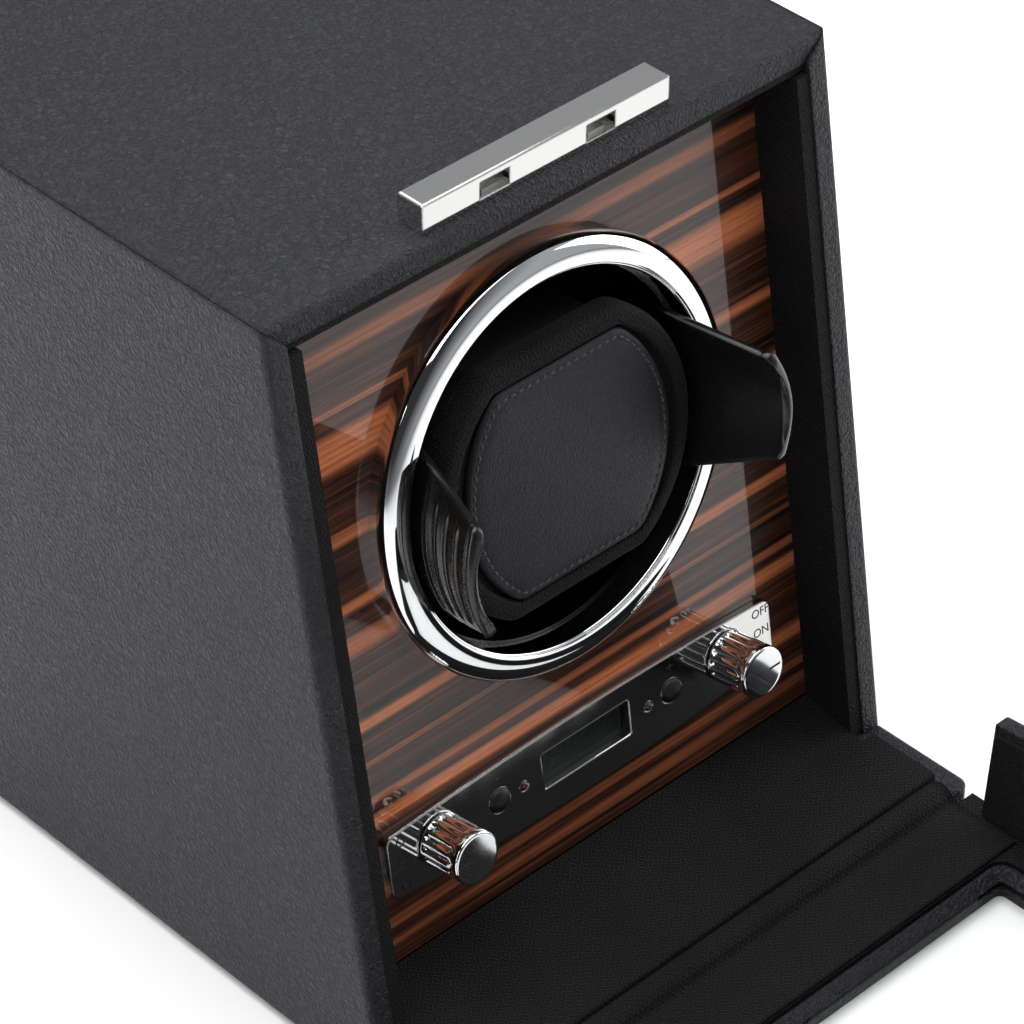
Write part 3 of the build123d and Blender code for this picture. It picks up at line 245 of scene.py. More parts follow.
# Salmon streaks in the veneer: height up the fascia, half width (mm), strength
STREAKS = (
    (156.3, 0.8, 0.75),
    (146.6, 3.2, 1.0),
    (126.0, 1.2, 0.85),
    (108.6, 1.3, 1.0),
    (99.0, 1.8, 1.0),
    (77.7, 1.4, 0.95),
    (68.5, 0.7, 0.4),
    (59.0, 0.8, 0.55),
    (53.0, 1.8, 1.0),
    (34.0, 1.7, 0.8),
    (24.6, 1.0, 0.45),
    (19.5, 1.2, 0.35),
    (170.0, 1.4, 0.5),
)


def veneer():
    """Striped ebony veneer under clear lacquer, its grain running across the fascia."""
    shader = Shader("ebony_veneer", Coat_Weight=1.0, Coat_Roughness=0.012, Coat_IOR=1.40)
    shader.set("Specular IOR Level", 0.12)
    upwards = shader.add("VectorMath", {0: shader.position, 1: UP}, operation="DOT_PRODUCT").outputs["Value"]
    foot = DRUM_AT.dot(UP) / MM - DRUM_V
    height = shader.math("SUBTRACT", shader.math("MULTIPLY", upwards, 1 / MM), foot)
    across = shader.math("MULTIPLY", shader.add("SeparateXYZ", {0: shader.position}).outputs[0], 1 / MM)
    long_grain = shader.add("CombineXYZ", {0: shader.math("MULTIPLY", across, 0.012), 1: height}).outputs[0]
    short_grain = shader.add("CombineXYZ", {0: shader.math("MULTIPLY", across, 0.05), 1: height}).outputs[0]
    wander = shader.noise(0.11, 3.0, 0.5, long_grain)
    bands = shader.noise(0.24, 5.0, 0.66, long_grain, distortion=0.2)
    lines = shader.noise(0.95, 5.0, 0.7, long_grain)
    fibres = shader.noise(3.6, 3.0, 0.7, short_grain)
    shifted = shader.math("ADD", height, shader.remap(wander, 0.25, 0.75, -1.1, 1.1))
    black, umber, rust = (0.0060, 0.0042, 0.0038), (0.060, 0.0225, 0.0115), (0.210, 0.060, 0.024)
    colour = shader.mix(shader.remap(bands, 0.40, 0.57), black, umber)
    colour = shader.mix(shader.remap(lines, 0.50, 0.68, 0.0, 0.85), colour, rust)
    colour = shader.mix(shader.remap(lines, 0.36, 0.44, 0.75, 0.0), colour, black)
    broken = shader.remap(lines, 0.34, 0.54, 0.45, 1.0)
    for streak_v, half, strength in STREAKS:
        offset = shader.math("ABSOLUTE", shader.math("SUBTRACT", shifted, streak_v))
        inside = shader.remap(offset, half * 0.55, half * 1.7, strength, 0.0, smooth=True)
        inside = shader.math("MULTIPLY", inside, broken)
        colour = shader.mix(inside, colour, (0.700, 0.215, 0.085))
    colour = shader.mix(shader.remap(fibres, 0.52, 0.72, 0.0, 0.5), colour, black)
    shader.set("Base Color", colour)
    shader.set("Roughness", shader.remap(fibres, 0.3, 0.7, 0.30, 0.42))
    shader.set("Normal", shader.relief(fibres, 0.02 * MM, 0.3))
    return shader.material


def polished_metal(name, colour, rough, wear=0.015, edge_mm=0.0):
    """Plated metal: a mirror finish with faint polishing haze, its edges eased where asked."""
    shader = Shader(name, Metallic=1.0, Base_Color=colour)
    haze = shader.noise(180.0, 4.0, 0.6)
    ripple = shader.noise(30.0, 2.0, 0.5)
    shader.set("Roughness", shader.remap(haze, 0.35, 0.75, rough, rough + wear))
    eased = shader.add("Bevel", {"Radius": edge_mm * MM}, samples=4).outputs[0] if edge_mm else None
    shader.set("Normal", shader.relief(ripple, 0.03 * MM, 0.12, below=eased))
    return shader.material


def brushed_metal(name, colour, rough, direction=(1.0, 12.0, 12.0)):
    """Rolled or turned metal with drawn marks along one direction."""
    shader = Shader(name, Metallic=1.0)
    marks = shader.noise(900.0, 4.0, 0.65, shader.stretched(direction))
    stain = shader.noise(60.0, 3.0, 0.5)
    dull = tuple(channel * 0.72 for channel in colour)
    shader.set("Base Color", shader.mix(shader.remap(stain, 0.35, 0.7), colour, dull))
    shader.set("Roughness", shader.remap(marks, 0.3, 0.7, rough - 0.08, rough + 0.12))
    shader.set("Normal", shader.relief(marks, 0.02 * MM, 0.5))
    return shader.material


def plastic(name, colour, rough, texture_mm=0.35, depth_mm=0.012, specular=0.5):
    """Moulded plastic: fine tool texture and slight shade changes."""
    shader = Shader(name, Specular_IOR_Level=specular)
    spark = shader.noise(1.0 / (texture_mm * MM), 3.0, 0.6)
    flow = shader.noise(55.0, 3.0, 0.5)
    pale = tuple(min(1.0, channel * 1.2 + 0.0008) for channel in colour)
    shader.set("Base Color", shader.mix(shader.remap(flow, 0.3, 0.75), colour, pale))
    shader.set("Roughness", shader.remap(spark, 0.3, 0.7, rough - 0.04, rough + 0.06))
    shader.set("Normal", shader.relief(spark, depth_mm * MM, 0.6))
    return shader.material


def clear_glass(name, tint):
    """Flat clear glass: sees straight through, and reflects by Fresnel."""
    shader = Shader(name)
    through = shader.add("BsdfTransparent", {"Color": (*tint, 1.0)})
    smear = shader.noise(25.0, 3.0, 0.6)
    mirror = shader.add("BsdfGlossy", {"Roughness": shader.remap(smear, 0.4, 0.8, 0.0, 0.03)})
    facing = shader.add("Fresnel", {"IOR": 1.5}).outputs[0]
    front = shader.math("SUBTRACT", 1.0, shader.add("NewGeometry").outputs["Backfacing"])
    inputs = {0: shader.math("MULTIPLY", facing, front), 1: through.outputs[0], 2: mirror.outputs[0]}
    joined = shader.add("MixShader", inputs)
    output = shader.nodes["Material Output"]
    shader.links.new(joined.outputs[0], output.inputs["Surface"])
    shader.nodes.remove(shader.bsdf)
    return shader.material


def bare_wood():
    shader = Shader("bare_pine", Roughness=0.7)
    rings = shader.noise(300.0, 4.0, 0.6, shader.stretched((0.06, 1.0, 1.0)))
    pale, deep = (0.50, 0.33, 0.17), (0.33, 0.19, 0.09)
    shader.set("Base Color", shader.mix(shader.remap(rings, 0.3, 0.7), pale, deep))
    shader.set("Normal", shader.relief(rings, 0.05 * MM, 0.5))
    return shader.material


def thread():
    """Twisted sewing thread."""
    shader = Shader("pad_thread", Sheen_Weight=0.3, Roughness=0.55)
    twist = shader.noise(2600.0, 2.0, 0.5, shader.stretched((1.0, 1.0, 2.2), (0.6, 0.4, 0.0)))
    deep, pale = (0.006, 0.006, 0.007), (0.020, 0.020, 0.023)
    shader.set("Base Color", shader.mix(shader.remap(twist, 0.4, 0.6), deep, pale))
    shader.set("Normal", shader.relief(twist, 0.06 * MM, 0.8))
    return shader.material


def lamp_lens(name, colour):
    """Diffused coloured lamp lens, unlit."""
    shader = Shader(name, Roughness=0.18, Coat_Weight=0.6, Coat_Roughness=0.05)
    depth = shader.noise(900.0, 2.0, 0.5)
    dark = tuple(channel * 0.35 for channel in colour)
    shader.set("Base Color", shader.mix(shader.remap(depth, 0.3, 0.7), dark, colour))
    return shader.material


def display_face():
    """Reflective liquid crystal panel: grey-green, finely mottled."""
    shader = Shader("lcd_face", Roughness=0.35)
    mottle = shader.noise(1400.0, 2.0, 0.5)
    deep, pale = (0.036, 0.052, 0.042), (0.050, 0.066, 0.054)
    shader.set("Base Color", shader.mix(shader.remap(mottle, 0.3, 0.7), deep, pale))
    return shader.material


LOOKS = {
    "leather": leather("black_leather", (0.0088, 0.0089, 0.0115), 0.95, 0.55, 0.42),
    "lining": lining_cloth("lining_cloth", (0.0062, 0.0054, 0.0064)),
    "pad_leather": leather("pad_leather", (0.0075, 0.0075, 0.0100), 0.55, 0.10, 0.42),
    "veneer": veneer(),
    "plain_wood": bare_wood(),
    "chrome": polished_metal("plated_fittings", (0.60, 0.595, 0.585), 0.05, 0.05, 0.6),
    "steel": brushed_metal("plain_steel", (0.52, 0.52, 0.54), 0.36),
    "bronze": brushed_metal("sintered_bronze", (0.50, 0.33, 0.16), 0.45),
    "black_gloss": plastic("black_moulding", (0.0040, 0.0040, 0.0046), 0.24, 0.35, 0.0012, 0.45),
    "black_matte": plastic("matte_moulding", (0.022, 0.022, 0.025), 0.50, 0.3, 0.004),
    "gear_plastic": plastic("acetal", (0.74, 0.73, 0.67), 0.38),
    "glass": clear_glass("clear_glass", (0.992, 0.998, 0.995)),
    "lcd": display_face(),
    "circuit_board": plastic("circuit_laminate", (0.02, 0.13, 0.06), 0.35, 1.2, 0.05),
    "led_red": lamp_lens("red_lens", (0.105, 0.012, 0.010)),
    "led_green": lamp_lens("green_lens", (0.010, 0.050, 0.036)),
    "rubber": plastic("foot_rubber", (0.02, 0.02, 0.02), 0.75, 0.3, 0.03, 0.3),
}
CHROME = polished_metal("polished_chrome", (0.74, 0.75, 0.76), 0.03)
SATIN = brushed_metal("satin_plate", (0.62, 0.61, 0.59), 0.30)
CAP = plastic("button_rubber", (0.0050, 0.0050, 0.0056), 0.42, 0.3, 0.002, 0.4)
INK = plastic("label_ink", (0.008, 0.008, 0.008), 0.45)
THREAD = thread()

for subpart in frame["record"]["subparts"]:
    node = frame["nodes"][subpart["node"]]
    for index in range(max(1, len(node.data.materials))):
        if index < len(node.data.materials):
            node.data.materials[index] = LOOKS[subpart["material_slot"]]
        else:
            node.data.materials.append(LOOKS[subpart["material_slot"]])

# The catches inside the clasp bar are satin, not mirror bright
frame["nodes"]["clasp_catches"].data.materials[0] = SATIN

# ---------------------------------------------------------------- mesh helpers


def new_piece(name, points, faces, slot, body, material=None, smooth=True):
    mesh = bpy.data.meshes.new(name)
    mesh.from_pydata([tuple(point) for point in points], [], faces)
    mesh.validate()
    mesh.materials.append(material or LOOKS[slot])
    mesh.polygons.foreach_set("use_smooth", [smooth] * len(mesh.polygons))
    piece = bpy.data.objects.new(name, mesh)
    bpy.context.scene.collection.objects.link(piece)
    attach(piece, body)
    return piece


def skin(loops, caps=(True, True)):
    """Points and faces of a closed skin over a row of equal loops, with flat ends where asked."""
    points = [point for loop in loops for point in loop]
    count = len(loops[0])
    faces = []
    for row in range(len(loops) - 1):
        for column in range(count):
            here = row * count + column
            beside = row * count + (column + 1) % count
            faces.append((here, beside, beside + count, here + count))
    if caps[0]:
        faces.append(tuple(reversed(range(count))))
    if caps[1]:
        faces.append(tuple(range(len(points) - count, len(points))))
    return points, faces


def arc(centre, radius, start, end, steps):
    """Points along a circular arc, angles in degrees."""
    turns = [radians(start + (end - start) * step / steps) for step in range(steps + 1)]
    return [(centre[0] + radius * cos(turn), centre[1] + radius * sin(turn)) for turn in turns]


def turned(centre_x, centre_v, profile, segments=160, flutes=None):
    """Loops of a turned shape whose axis leaves the fascia at a point; profile is (radius, n) in mm."""
    loops = []
    for radius, n in profile:
        loop = []
        for segment in range(segments):
            turn = 2 * pi * segment / segments
            reach = radius if flutes is None else flutes(radius, turn, n)
            loop.append(on_fascia(centre_x + reach * cos(turn), centre_v + reach * sin(turn), n))
        loops.append(loop)
    return loops


def merge(parts):
    """One list of points and faces from several."""
    points, faces = [], []
    for part_points, part_faces in parts:
        start = len(points)
        points += part_points
        faces += [tuple(start + index for index in face) for face in part_faces]
    return points, faces


# ---------------------------------------------------------------- chrome bezel

RING_R = 52.4
RING_BORE_R = 45.0


def make_bezel():
    """Domed ring: a steep rounded shoulder, a crown that falls slightly inwards, and a thin inner lip."""
    profile = [(RING_R, -0.8)] + arc((49.2, 2.7), 3.2, 0, 55, 16)
    profile += arc((47.364, 0.079), 6.4, 55, 105, 24)[1:]
    profile += [(45.685, 6.16), (45.67, 5.97)]
    profile += arc((RING_BORE_R + 0.6, 5.3), 0.6, 86, 180, 10) + [(RING_BORE_R, -0.9)]
    loops = turned(0, DRUM_V, profile, 320)
    piece = new_piece("bezel", *skin(loops, (False, False)), "chrome", "case", CHROME)
    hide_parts("bezel_ring")


make_bezel()

# ---------------------------------------------------------------- knobs, buttons and lamps

KNOB_X = 46.0
KNOB_R = 6.5
KNOB_TOP_N = 14.3
KNOB_FLUTES = 14
BUTTON_X = 27.6
BUTTON_R = 3.0
BUTTON_TOP_N = 3.4
LED_X = 20.0
LED_DROP = 0.4
LED_R = 1.15
LED_TOP_N = 2.5
LCD_HALF = (14.0, 4.8)
PLATE_TOP_N = 2.0


def fluted(radius, turn, n):
    """Scalloped flutes between a plain foot and a plain head."""
    inside = KNOB_R - 1.3 < radius
    low, high = 2.9, KNOB_TOP_N - 2.6
    if not inside or n < low or n > high:
        return radius
    fade = min(1.0, (n - low) / 0.5, (high - n) / 0.5)
    scallop = abs(cos(turn * KNOB_FLUTES / 2)) ** 0.6
    return radius - 0.95 * fade * (1 - scallop)


def make_knob(name, sign, replaced, body):
    edge = arc((KNOB_R - 0.5, KNOB_TOP_N - 0.5), 0.5, 0, 90, 6)
    levels = [2.45 + (KNOB_TOP_N - 3.0 - 2.45) * step / 24 for step in range(25)]
    profile = [(KNOB_R - 0.6, 2.4)] + [(KNOB_R, level) for level in levels]
    profile += [(KNOB_R + 0.05, KNOB_TOP_N - 2.3), (KNOB_R + 0.05, KNOB_TOP_N - 0.6)] + edge
    profile += [(KNOB_R - 0.9, KNOB_TOP_N - 0.02), (0.3, KNOB_TOP_N - 0.03)]
    loops = turned(sign * KNOB_X, CONTROLS_V, profile, 224, fluted)
    piece = new_piece(name, *skin(loops, (False, True)), "chrome", body, CHROME)
    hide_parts(replaced)
    mark = [(-1.7, -0.28), (1.7, -0.28), (1.7, 0.28), (-1.7, 0.28)]
    centre = sign * (KNOB_X + KNOB_R - 2.7)
    low = [on_fascia(centre + x, CONTROLS_V + v, KNOB_TOP_N - 0.3) for x, v in mark]
    high = [on_fascia(centre + x, CONTROLS_V + v, KNOB_TOP_N + 0.03) for x, v in mark]
    new_piece(name + "_mark", *skin([low, high]), "black_matte", body, INK, smooth=False)


make_knob("program_knob_shell", -1, "program_knob", "program_knob")
make_knob("power_knob_shell", 1, "power_knob", "power_knob")


def make_dome(name, x, v, radius, top_n, rise, slot, body, replaced, material=None):
    """A domed cap: button or lamp lens."""
    dome_r = (radius**2 + rise**2) / (2 * rise)
    spread = asin(radius / dome_r)
    profile = [(radius, 0.2), (radius, top_n - rise - 0.25), (radius - 0.08, top_n - rise - 0.06)]
    for step in range(1, 14):
        lean = spread * (1 - step / 14)
        profile.append((dome_r * sin(lean) * 0.985, top_n - dome_r * (1 - cos(lean))))
    loops = turned(x, v, profile, 72)
    piece = new_piece(name, *skin(loops), slot, body, material)
    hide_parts(replaced)


for label, sign in (("minus", -1), ("plus", 1)):
    button = label + "_button"
    size = (BUTTON_R, BUTTON_TOP_N, 0.9)
    make_dome(label + "_cap", sign * BUTTON_X, CONTROLS_V, *size, "black_gloss", button, button, CAP)
for label, sign in (("red", -1), ("green", 1)):
    led = "led_" + label
    size = (LED_R, LED_TOP_N, 0.5)
    make_dome(label + "_lamp", sign * LED_X, CONTROLS_V - LED_DROP, *size, led, "case", led)

# ---------------------------------------------------------------- cuff

CUFF_HALF = (38.4, 31.5)
PAD_HALF = (30.6, 26.3)
CUFF_FRONT_N = 8.5
SHELL_SPLIT_N = 1.0
REAR_SPLIT_N = -15.0


def barrel(half_w, half_h, top_half, corner, inset=0.0):
    """Outline with flat top and bottom and bulging sides, moved inwards by inset; (x, v) points."""
    side_r = ((half_w - top_half) ** 2 + half_h**2) / (2 * (half_w - top_half))
    side_x = half_w - side_r
    corner = max(corner - inset, 0.6)
    height = half_h - inset
    corner_x = side_x + sqrt((side_r - inset - corner) ** 2 - (height - corner) ** 2)
    lean = atan2(height - corner, corner_x - side_x) * 180 / pi
    quarter = [(corner_x * step / 9, height) for step in range(9)]
    quarter += arc((corner_x, height - corner), corner, 90, lean, 9)[:-1]
    quarter += arc((side_x, 0), side_r - inset, lean, 0, 16)[:-1]
    right = quarter + [(side_r - inset + side_x, 0)] + [(x, -v) for x, v in reversed(quarter[1:])]
    return right + [(-x, v) for x, v in reversed(right[1:])]


def padded_loops(outline, profile, fill_steps, crown):
    """Loops over a padded form: profile is (inset, n) up to the flat, which then crowns to the middle."""
    loops = []
    for inset, n in profile:
        loops.append([on_fascia(x, DRUM_V + v, n) for x, v in barrel(*outline, inset)])
    last_inset, last_n = profile[-1]
    edge = barrel(*outline, last_inset)
    for step in range(1, fill_steps + 1):
        share = 1 - step / (fill_steps + 0.35)
        rise = crown * (1 - share**2)
        loops.append([on_fascia(x * share, DRUM_V + v * share, last_n + rise) for x, v in edge])
    return loops


PAD_OUTLINE = (*PAD_HALF, 18.5, 6.0)
SHELL_OUTLINE = (*CUFF_HALF, 20.0, 6.5)
STITCH_INSET = 1.75


def make_pad():
    """Leather pad: turned-under edge, a stitch groove and a soft crown."""
    foot = CUFF_FRONT_N - 2.3
    edge_r = 0.95
    rim = [(edge_r - x, CUFF_FRONT_N - 1.25 + n) for x, n in arc((0, 0), edge_r, 0, 90, 7)]
    profile = [(0.3, foot), (0.0, foot + 0.5)] + rim
    profile += [(1.2, CUFF_FRONT_N - 0.34), (STITCH_INSET, CUFF_FRONT_N - 0.46), (2.3, CUFF_FRONT_N - 0.26)]
    profile += [(3.1, CUFF_FRONT_N - 0.04), (5.0, CUFF_FRONT_N + 0.1)]
    loops = padded_loops(PAD_OUTLINE, profile, 9, 0.55)
    pad = new_piece("pad", *skin(loops), "pad_leather", "cuff")
    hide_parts("cuff_pad")


def along(outline, inset, pitch):
    """Evenly spaced points and directions along an inset outline."""
    loop = barrel(*outline, inset)
    sides = list(zip(loop, loop[1:] + loop[:1]))
    lengths = [0.0]
    for first, second in sides:
        lengths.append(lengths[-1] + sqrt((second[0] - first[0]) ** 2 + (second[1] - first[1]) ** 2))
    count = round(lengths[-1] / pitch)
    found = []
    segment = 0
    for index in range(count):
        want = lengths[-1] * index / count
        while lengths[segment + 1] < want:
            segment += 1
        first, second = sides[segment]
        share = (want - lengths[segment]) / max(1e-9, lengths[segment + 1] - lengths[segment])
        step_x, step_v = second[0] - first[0], second[1] - first[1]
        found.append((first[0] + step_x * share, first[1] + step_v * share, atan2(step_v, step_x)))
    return found


def make_stitches():
    """One short raised thread after another, each dipping into the leather at its ends."""
    parts = []
    for x, v, lean in along(PAD_OUTLINE, STITCH_INSET, 2.35):
        loops = []
        for step in range(9):
            share = step / 8 * 2 - 1
            thick = 0.26 * sqrt(max(0.02, 1 - share**4))
            centre_n = CUFF_FRONT_N - 0.50 + 0.22 * (1 - share**2)
            tilt = lean + 0.10
            centre = (x + 0.80 * share * cos(tilt), v + 0.80 * share * sin(tilt))
            loop = []
            for segment in range(8):
                turn = 2 * pi * segment / 8
                offset = thick * cos(turn)
                loop.append(
                    on_fascia(
                        centre[0] - offset * sin(tilt),
                        DRUM_V + centre[1] + offset * cos(tilt),
                        centre_n + thick * sin(turn),
                    )
                )
            loops.append(loop)
        parts.append(skin(loops))
    new_piece("pad_stitches", *merge(parts), "pad_leather", "cuff", THREAD)


def make_shells():
    """Cloth-covered halves of the cuff: rounded, slightly crowned rims with a channel round the pad."""
    top = CUFF_FRONT_N - 0.9
    rim = [(2.4 - x, top - 2.4 + n) for x, n in arc((0, 0), 2.4, 0, 90, 9)]
    profile = [(1.2, SHELL_SPLIT_N), (0.25, SHELL_SPLIT_N + 0.35), (0.0, SHELL_SPLIT_N + 1.2)] + rim
    profile += [(3.4, top + 0.12), (4.4, top + 0.1), (4.75, top - 0.15), (5.0, top - 0.9), (5.1, top - 1.65)]
    loops = padded_loops(SHELL_OUTLINE, profile, 4, 0.0)
    front = new_piece("cuff_front", *skin(loops), "lining", "cuff")
    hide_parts("cuff_front_shell")
    rim = [(2.4 - x, REAR_SPLIT_N - 8.6 - n) for x, n in arc((0, 0), 2.4, 0, 90, 9)]
    profile = [(1.2, REAR_SPLIT_N), (0.25, REAR_SPLIT_N - 0.35), (0.0, REAR_SPLIT_N - 1.2)] + rim
    loops = padded_loops(SHELL_OUTLINE, profile, 6, 0.0)
    rear = new_piece("cuff_rear", *skin([list(reversed(loop)) for loop in loops]), "lining", "cuff")
    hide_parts("cuff_rear_shell")


make_pad()
make_stitches()
make_shells()

# ---------------------------------------------------------------- wings

WING_R = 43.2
WING_THICK = 2.2
WING_ROOT_N = -14.0
WING_BEND_N = 3.0
WING_TIP_N = 29.0
WING_TIP_X = 46.8
WING_RIDGES = (9.0, 13.3, 17.6, 21.9)


def wing_station(n):
    """Inner face's middle x, sag and half height, and the thickness, at a height n."""
    inner_r = WING_R - WING_THICK
    root_sag = inner_r - sqrt(inner_r**2 - 20.0**2)
    share = max(0.0, (n - WING_BEND_N) / (WING_TIP_N - 3 - WING_BEND_N))
    middle = inner_r + (WING_TIP_X - 0.6 - inner_r) * share
    sag = root_sag + (3.3 - root_sag) * min(1.0, share)
    half = 20.0 + (13.3 - 20.0) * min(1.0, share)
    beyond = max(0.0, n - (WING_TIP_N - 3)) / 3
    half -= 3.5 * (1 - sqrt(max(0.0, 1 - beyond**2)))
    thick = WING_THICK + 0.75 * max(0.0, 1 - abs(n - (WING_TIP_N - 1.5)) / 2.2)
    return middle, sag, half, thick


def ridge_rise(n):
    """Height of the raised bars on the outer face."""
    return sum(0.55 * max(0.0, 1 - ((n - centre) / 0.75) ** 2) for centre in WING_RIDGES)


def make_wing(name, sign, replaced, body):
    stations = []
    n = WING_ROOT_N
    while n < WING_TIP_N - 1.2:
        stations.append((n, 1.0))
        n += 0.3 if n > WING_BEND_N else 1.0
    for step in range(9):
        lean = step / 8 * pi / 2
        stations.append((WING_TIP_N - 1.2 + 1.2 * sin(lean), max(0.12, cos(lean))))
    loops = []
    columns = 26
    for n, share in stations:
        middle, sag, half, thick = wing_station(n)
        outer_rise = ridge_rise(n)
        loop = []
        for column in range(columns + 1):
            v = half * (2 * column / columns - 1)
            bow = sag * (v / half) ** 2
            loop.append((middle - bow + thick / 2 * (1 - share), v))
        for step in range(1, 6):
            lean = step / 6 * pi
            mid = middle - sag + thick / 2
            loop.append((mid - thick / 2 * share * cos(lean), half + thick / 2 * 0.55 * share * sin(lean)))
        for column in range(columns, -1, -1):
            v = half * (2 * column / columns - 1)
            bow = sag * (v / half) ** 2
            fade = max(0.0, min(1.0, (half - 1.6 - abs(v)) / 1.2))
            loop.append((middle - bow + thick / 2 + (thick / 2 + outer_rise * fade) * share, v))
        for step in range(1, 6):
            lean = step / 6 * pi
            mid = middle - sag + thick / 2
            loop.append((mid + thick / 2 * share * cos(lean), -half - thick / 2 * 0.55 * share * sin(lean)))
        points = [on_fascia(sign * x, DRUM_V + v, n) for x, v in loop]
        loops.append(points if sign > 0 else list(reversed(points)))
    piece = new_piece(name, *skin(loops), "black_gloss", body)
    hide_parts(replaced)


make_wing("left_wing", -1, "wing_left", "wing_left")
make_wing("right_wing", 1, "wing_right", "wing_right")

# ---------------------------------------------------------------- cloth over the hinge

STRIP_HALF_X = 76.0
STRIP_THICK = 0.5


def make_hinge_strip():
    """A strip of lining cloth rolled over the tray's rim and glued on to the cover, over the hinge."""
    tray_low, tray_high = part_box("base_panel")
    cover_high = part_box("cover_liner")[1]
    front_y = tray_low.y / MM
    lining_z = cover_high.z / MM
    rim_z = tray_high.z / MM
    line = [(front_y + 5.8, rim_z + 0.1), (front_y + 5.3, rim_z + 0.1), (front_y + 4.4, rim_z + 0.5)]
    line += [(front_y + 3.3, rim_z + 0.75), (front_y + 2.2, rim_z + 0.6), (front_y + 1.2, rim_z + 0.2)]
    line += [(front_y + 0.3, rim_z - 0.5), (front_y - 0.35, lining_z + 1.5), (front_y - 0.4, lining_z + 0.9)]
    line += arc((front_y - 1.9, lining_z + 1.75), 1.45, -15, -90, 8)
    line += [(front_y - 1.9 - 1.15 * step, lining_z + 0.3) for step in range(1, 17)]
    columns = 60
    spread = [STRIP_HALF_X * (2 * column / columns - 1) * MM for column in range(columns + 1)]
    loops = [[(x, y * MM, z * MM) for x in spread] for y, z in line]
    loops += [[(x, (y - 0.05) * MM, (z + STRIP_THICK) * MM) for x in spread] for y, z in reversed(line)]
    points = [point for loop in loops for point in loop]
    width = columns + 1
    faces = []
    rows = len(loops)
    for row in range(rows):
        here, after = row * width, (row + 1) % rows * width
        for column in range(columns):
            faces.append((here + column, here + column + 1, after + column + 1, after + column))
    for row in range(len(line) - 1):
        opposite = rows - 1 - row
        near, far = row * width, opposite * width
        faces.append((near + width, near, far, far - width))
        faces.append((near + columns, near + width + columns, far - width + columns, far + columns))
    mesh = bpy.data.meshes.new("hinge_cloth")
    mesh.from_pydata(points, [], faces)
    mesh.materials.append(LOOKS["lining"])
    mesh.polygons.foreach_set("use_smooth", [True] * len(mesh.polygons))
    piece = bpy.data.objects.new("hinge_cloth", mesh)
    bpy.context.scene.collection.objects.link(piece)
    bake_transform(piece)


make_hinge_strip()

# ---------------------------------------------------------------- window trim


def rounded_box(half_x, half_y, corner, steps=5):
    """Rectangle with rounded corners about the origin, anticlockwise from its right side."""
    corners = ((1, 1, 0), (-1, 1, 90), (-1, -1, 180), (1, -1, 270))
    loop = []
    for sign_x, sign_y, start in corners:
        centre = (sign_x * (half_x - corner), sign_y * (half_y - corner))
        loop += arc(centre, corner, start, start + 90, steps)
    return loop


def make_window_trim():
    """Leather turned down all round the window: one slope from the lining to the glass."""
    low, high = (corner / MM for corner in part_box("window_frame"))
    middle = (low + high) / 2
    half_x, half_y = (high.x - low.x) / 2, (high.y - low.y) / 2
    section = [(0.0, low.z + 0.05), (0.0, high.z - 0.2)]
    section += [(0.25 - x, high.z - 0.2 + z) for x, z in arc((0, 0), 0.25, 0, 90, 4)[1:]]
    section += [(0.7, high.z - 0.03), (1.1, high.z - 0.35), (2.7, low.z + 0.45), (2.95, low.z + 0.1)]
    loops = []
    for inset, z in section:
        outline = rounded_box(half_x - inset, half_y - inset, 4.0 - inset)
        loops.append([Vector((middle.x + x, middle.y + y, z)) * MM for x, y in outline])
    piece = new_piece("window_trim", *skin(loops, (False, False)), "leather", "cover")
    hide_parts("window_frame")


make_window_trim()

# ---------------------------------------------------------------- rims, display and legends


def make_hole_rims():
    """Bright bevelled edges of the control plate's openings."""
    parts = []
    buttons = [(sign * BUTTON_X, 0, BUTTON_R + 0.1) for sign in (-1, 1)]
    lamps = [(sign * LED_X, -LED_DROP, LED_R + 0.05) for sign in (-1, 1)]
    for x, v, radius in buttons + lamps:
        section = ((0, 1.2), (0, 1.86), (0.16, 2.02), (0.2, 2.02), (0.22, 1.9))
        profile = [(radius + grow, n) for grow, n in section]
        parts.append(skin(turned(x, CONTROLS_V + v, profile, 64), (False, False)))
    loops = []
    for grow, n in ((-0.05, 1.5), (-0.05, 1.86), (0.10, 2.02), (0.14, 2.02), (0.16, 1.9)):
        outline = rounded_box(LCD_HALF[0] + grow, LCD_HALF[1] + grow, 0.7 + grow)
        loops.append([on_fascia(x, CONTROLS_V + v, n) for x, v in outline])
    parts.append(skin(loops, (False, False)))
    new_piece("plate_rims", *merge(parts), "chrome", "case", CHROME)


make_hole_rims()

SEGMENTS = (
    ((-0.5, 1), (0.5, 1)),
    ((-0.5, 0), (0.5, 0)),
    ((-0.5, -1), (0.5, -1)),
    ((-0.5, 0), (-0.5, 1)),
    ((0.5, 0), (0.5, 1)),
    ((-0.5, -1), (-0.5, 0)),
    ((0.5, -1), (0.5, 0)),
)


def bar_between(start, end, half, n_low, n_high):
    """A flat pointed bar on the fascia between two (x, v) points."""
    lean = atan2(end[1] - start[1], end[0] - start[0])
    ahead, side = (cos(lean), sin(lean)), (-sin(lean), cos(lean))
    shape = []
    for point, way in ((start, 1), (end, -1)):
        for across, reach in ((-half * way, half), (0, 0), (half * way, half)):
            x = point[0] + ahead[0] * reach * way - side[0] * across
            v = point[1] + ahead[1] * reach * way - side[1] * across
            shape.append((x, v))
    low = [on_fascia(x, CONTROLS_V + v, n_low) for x, v in shape]
    high = [on_fascia(x, CONTROLS_V + v, n_high) for x, v in shape]
    return skin([low, high])


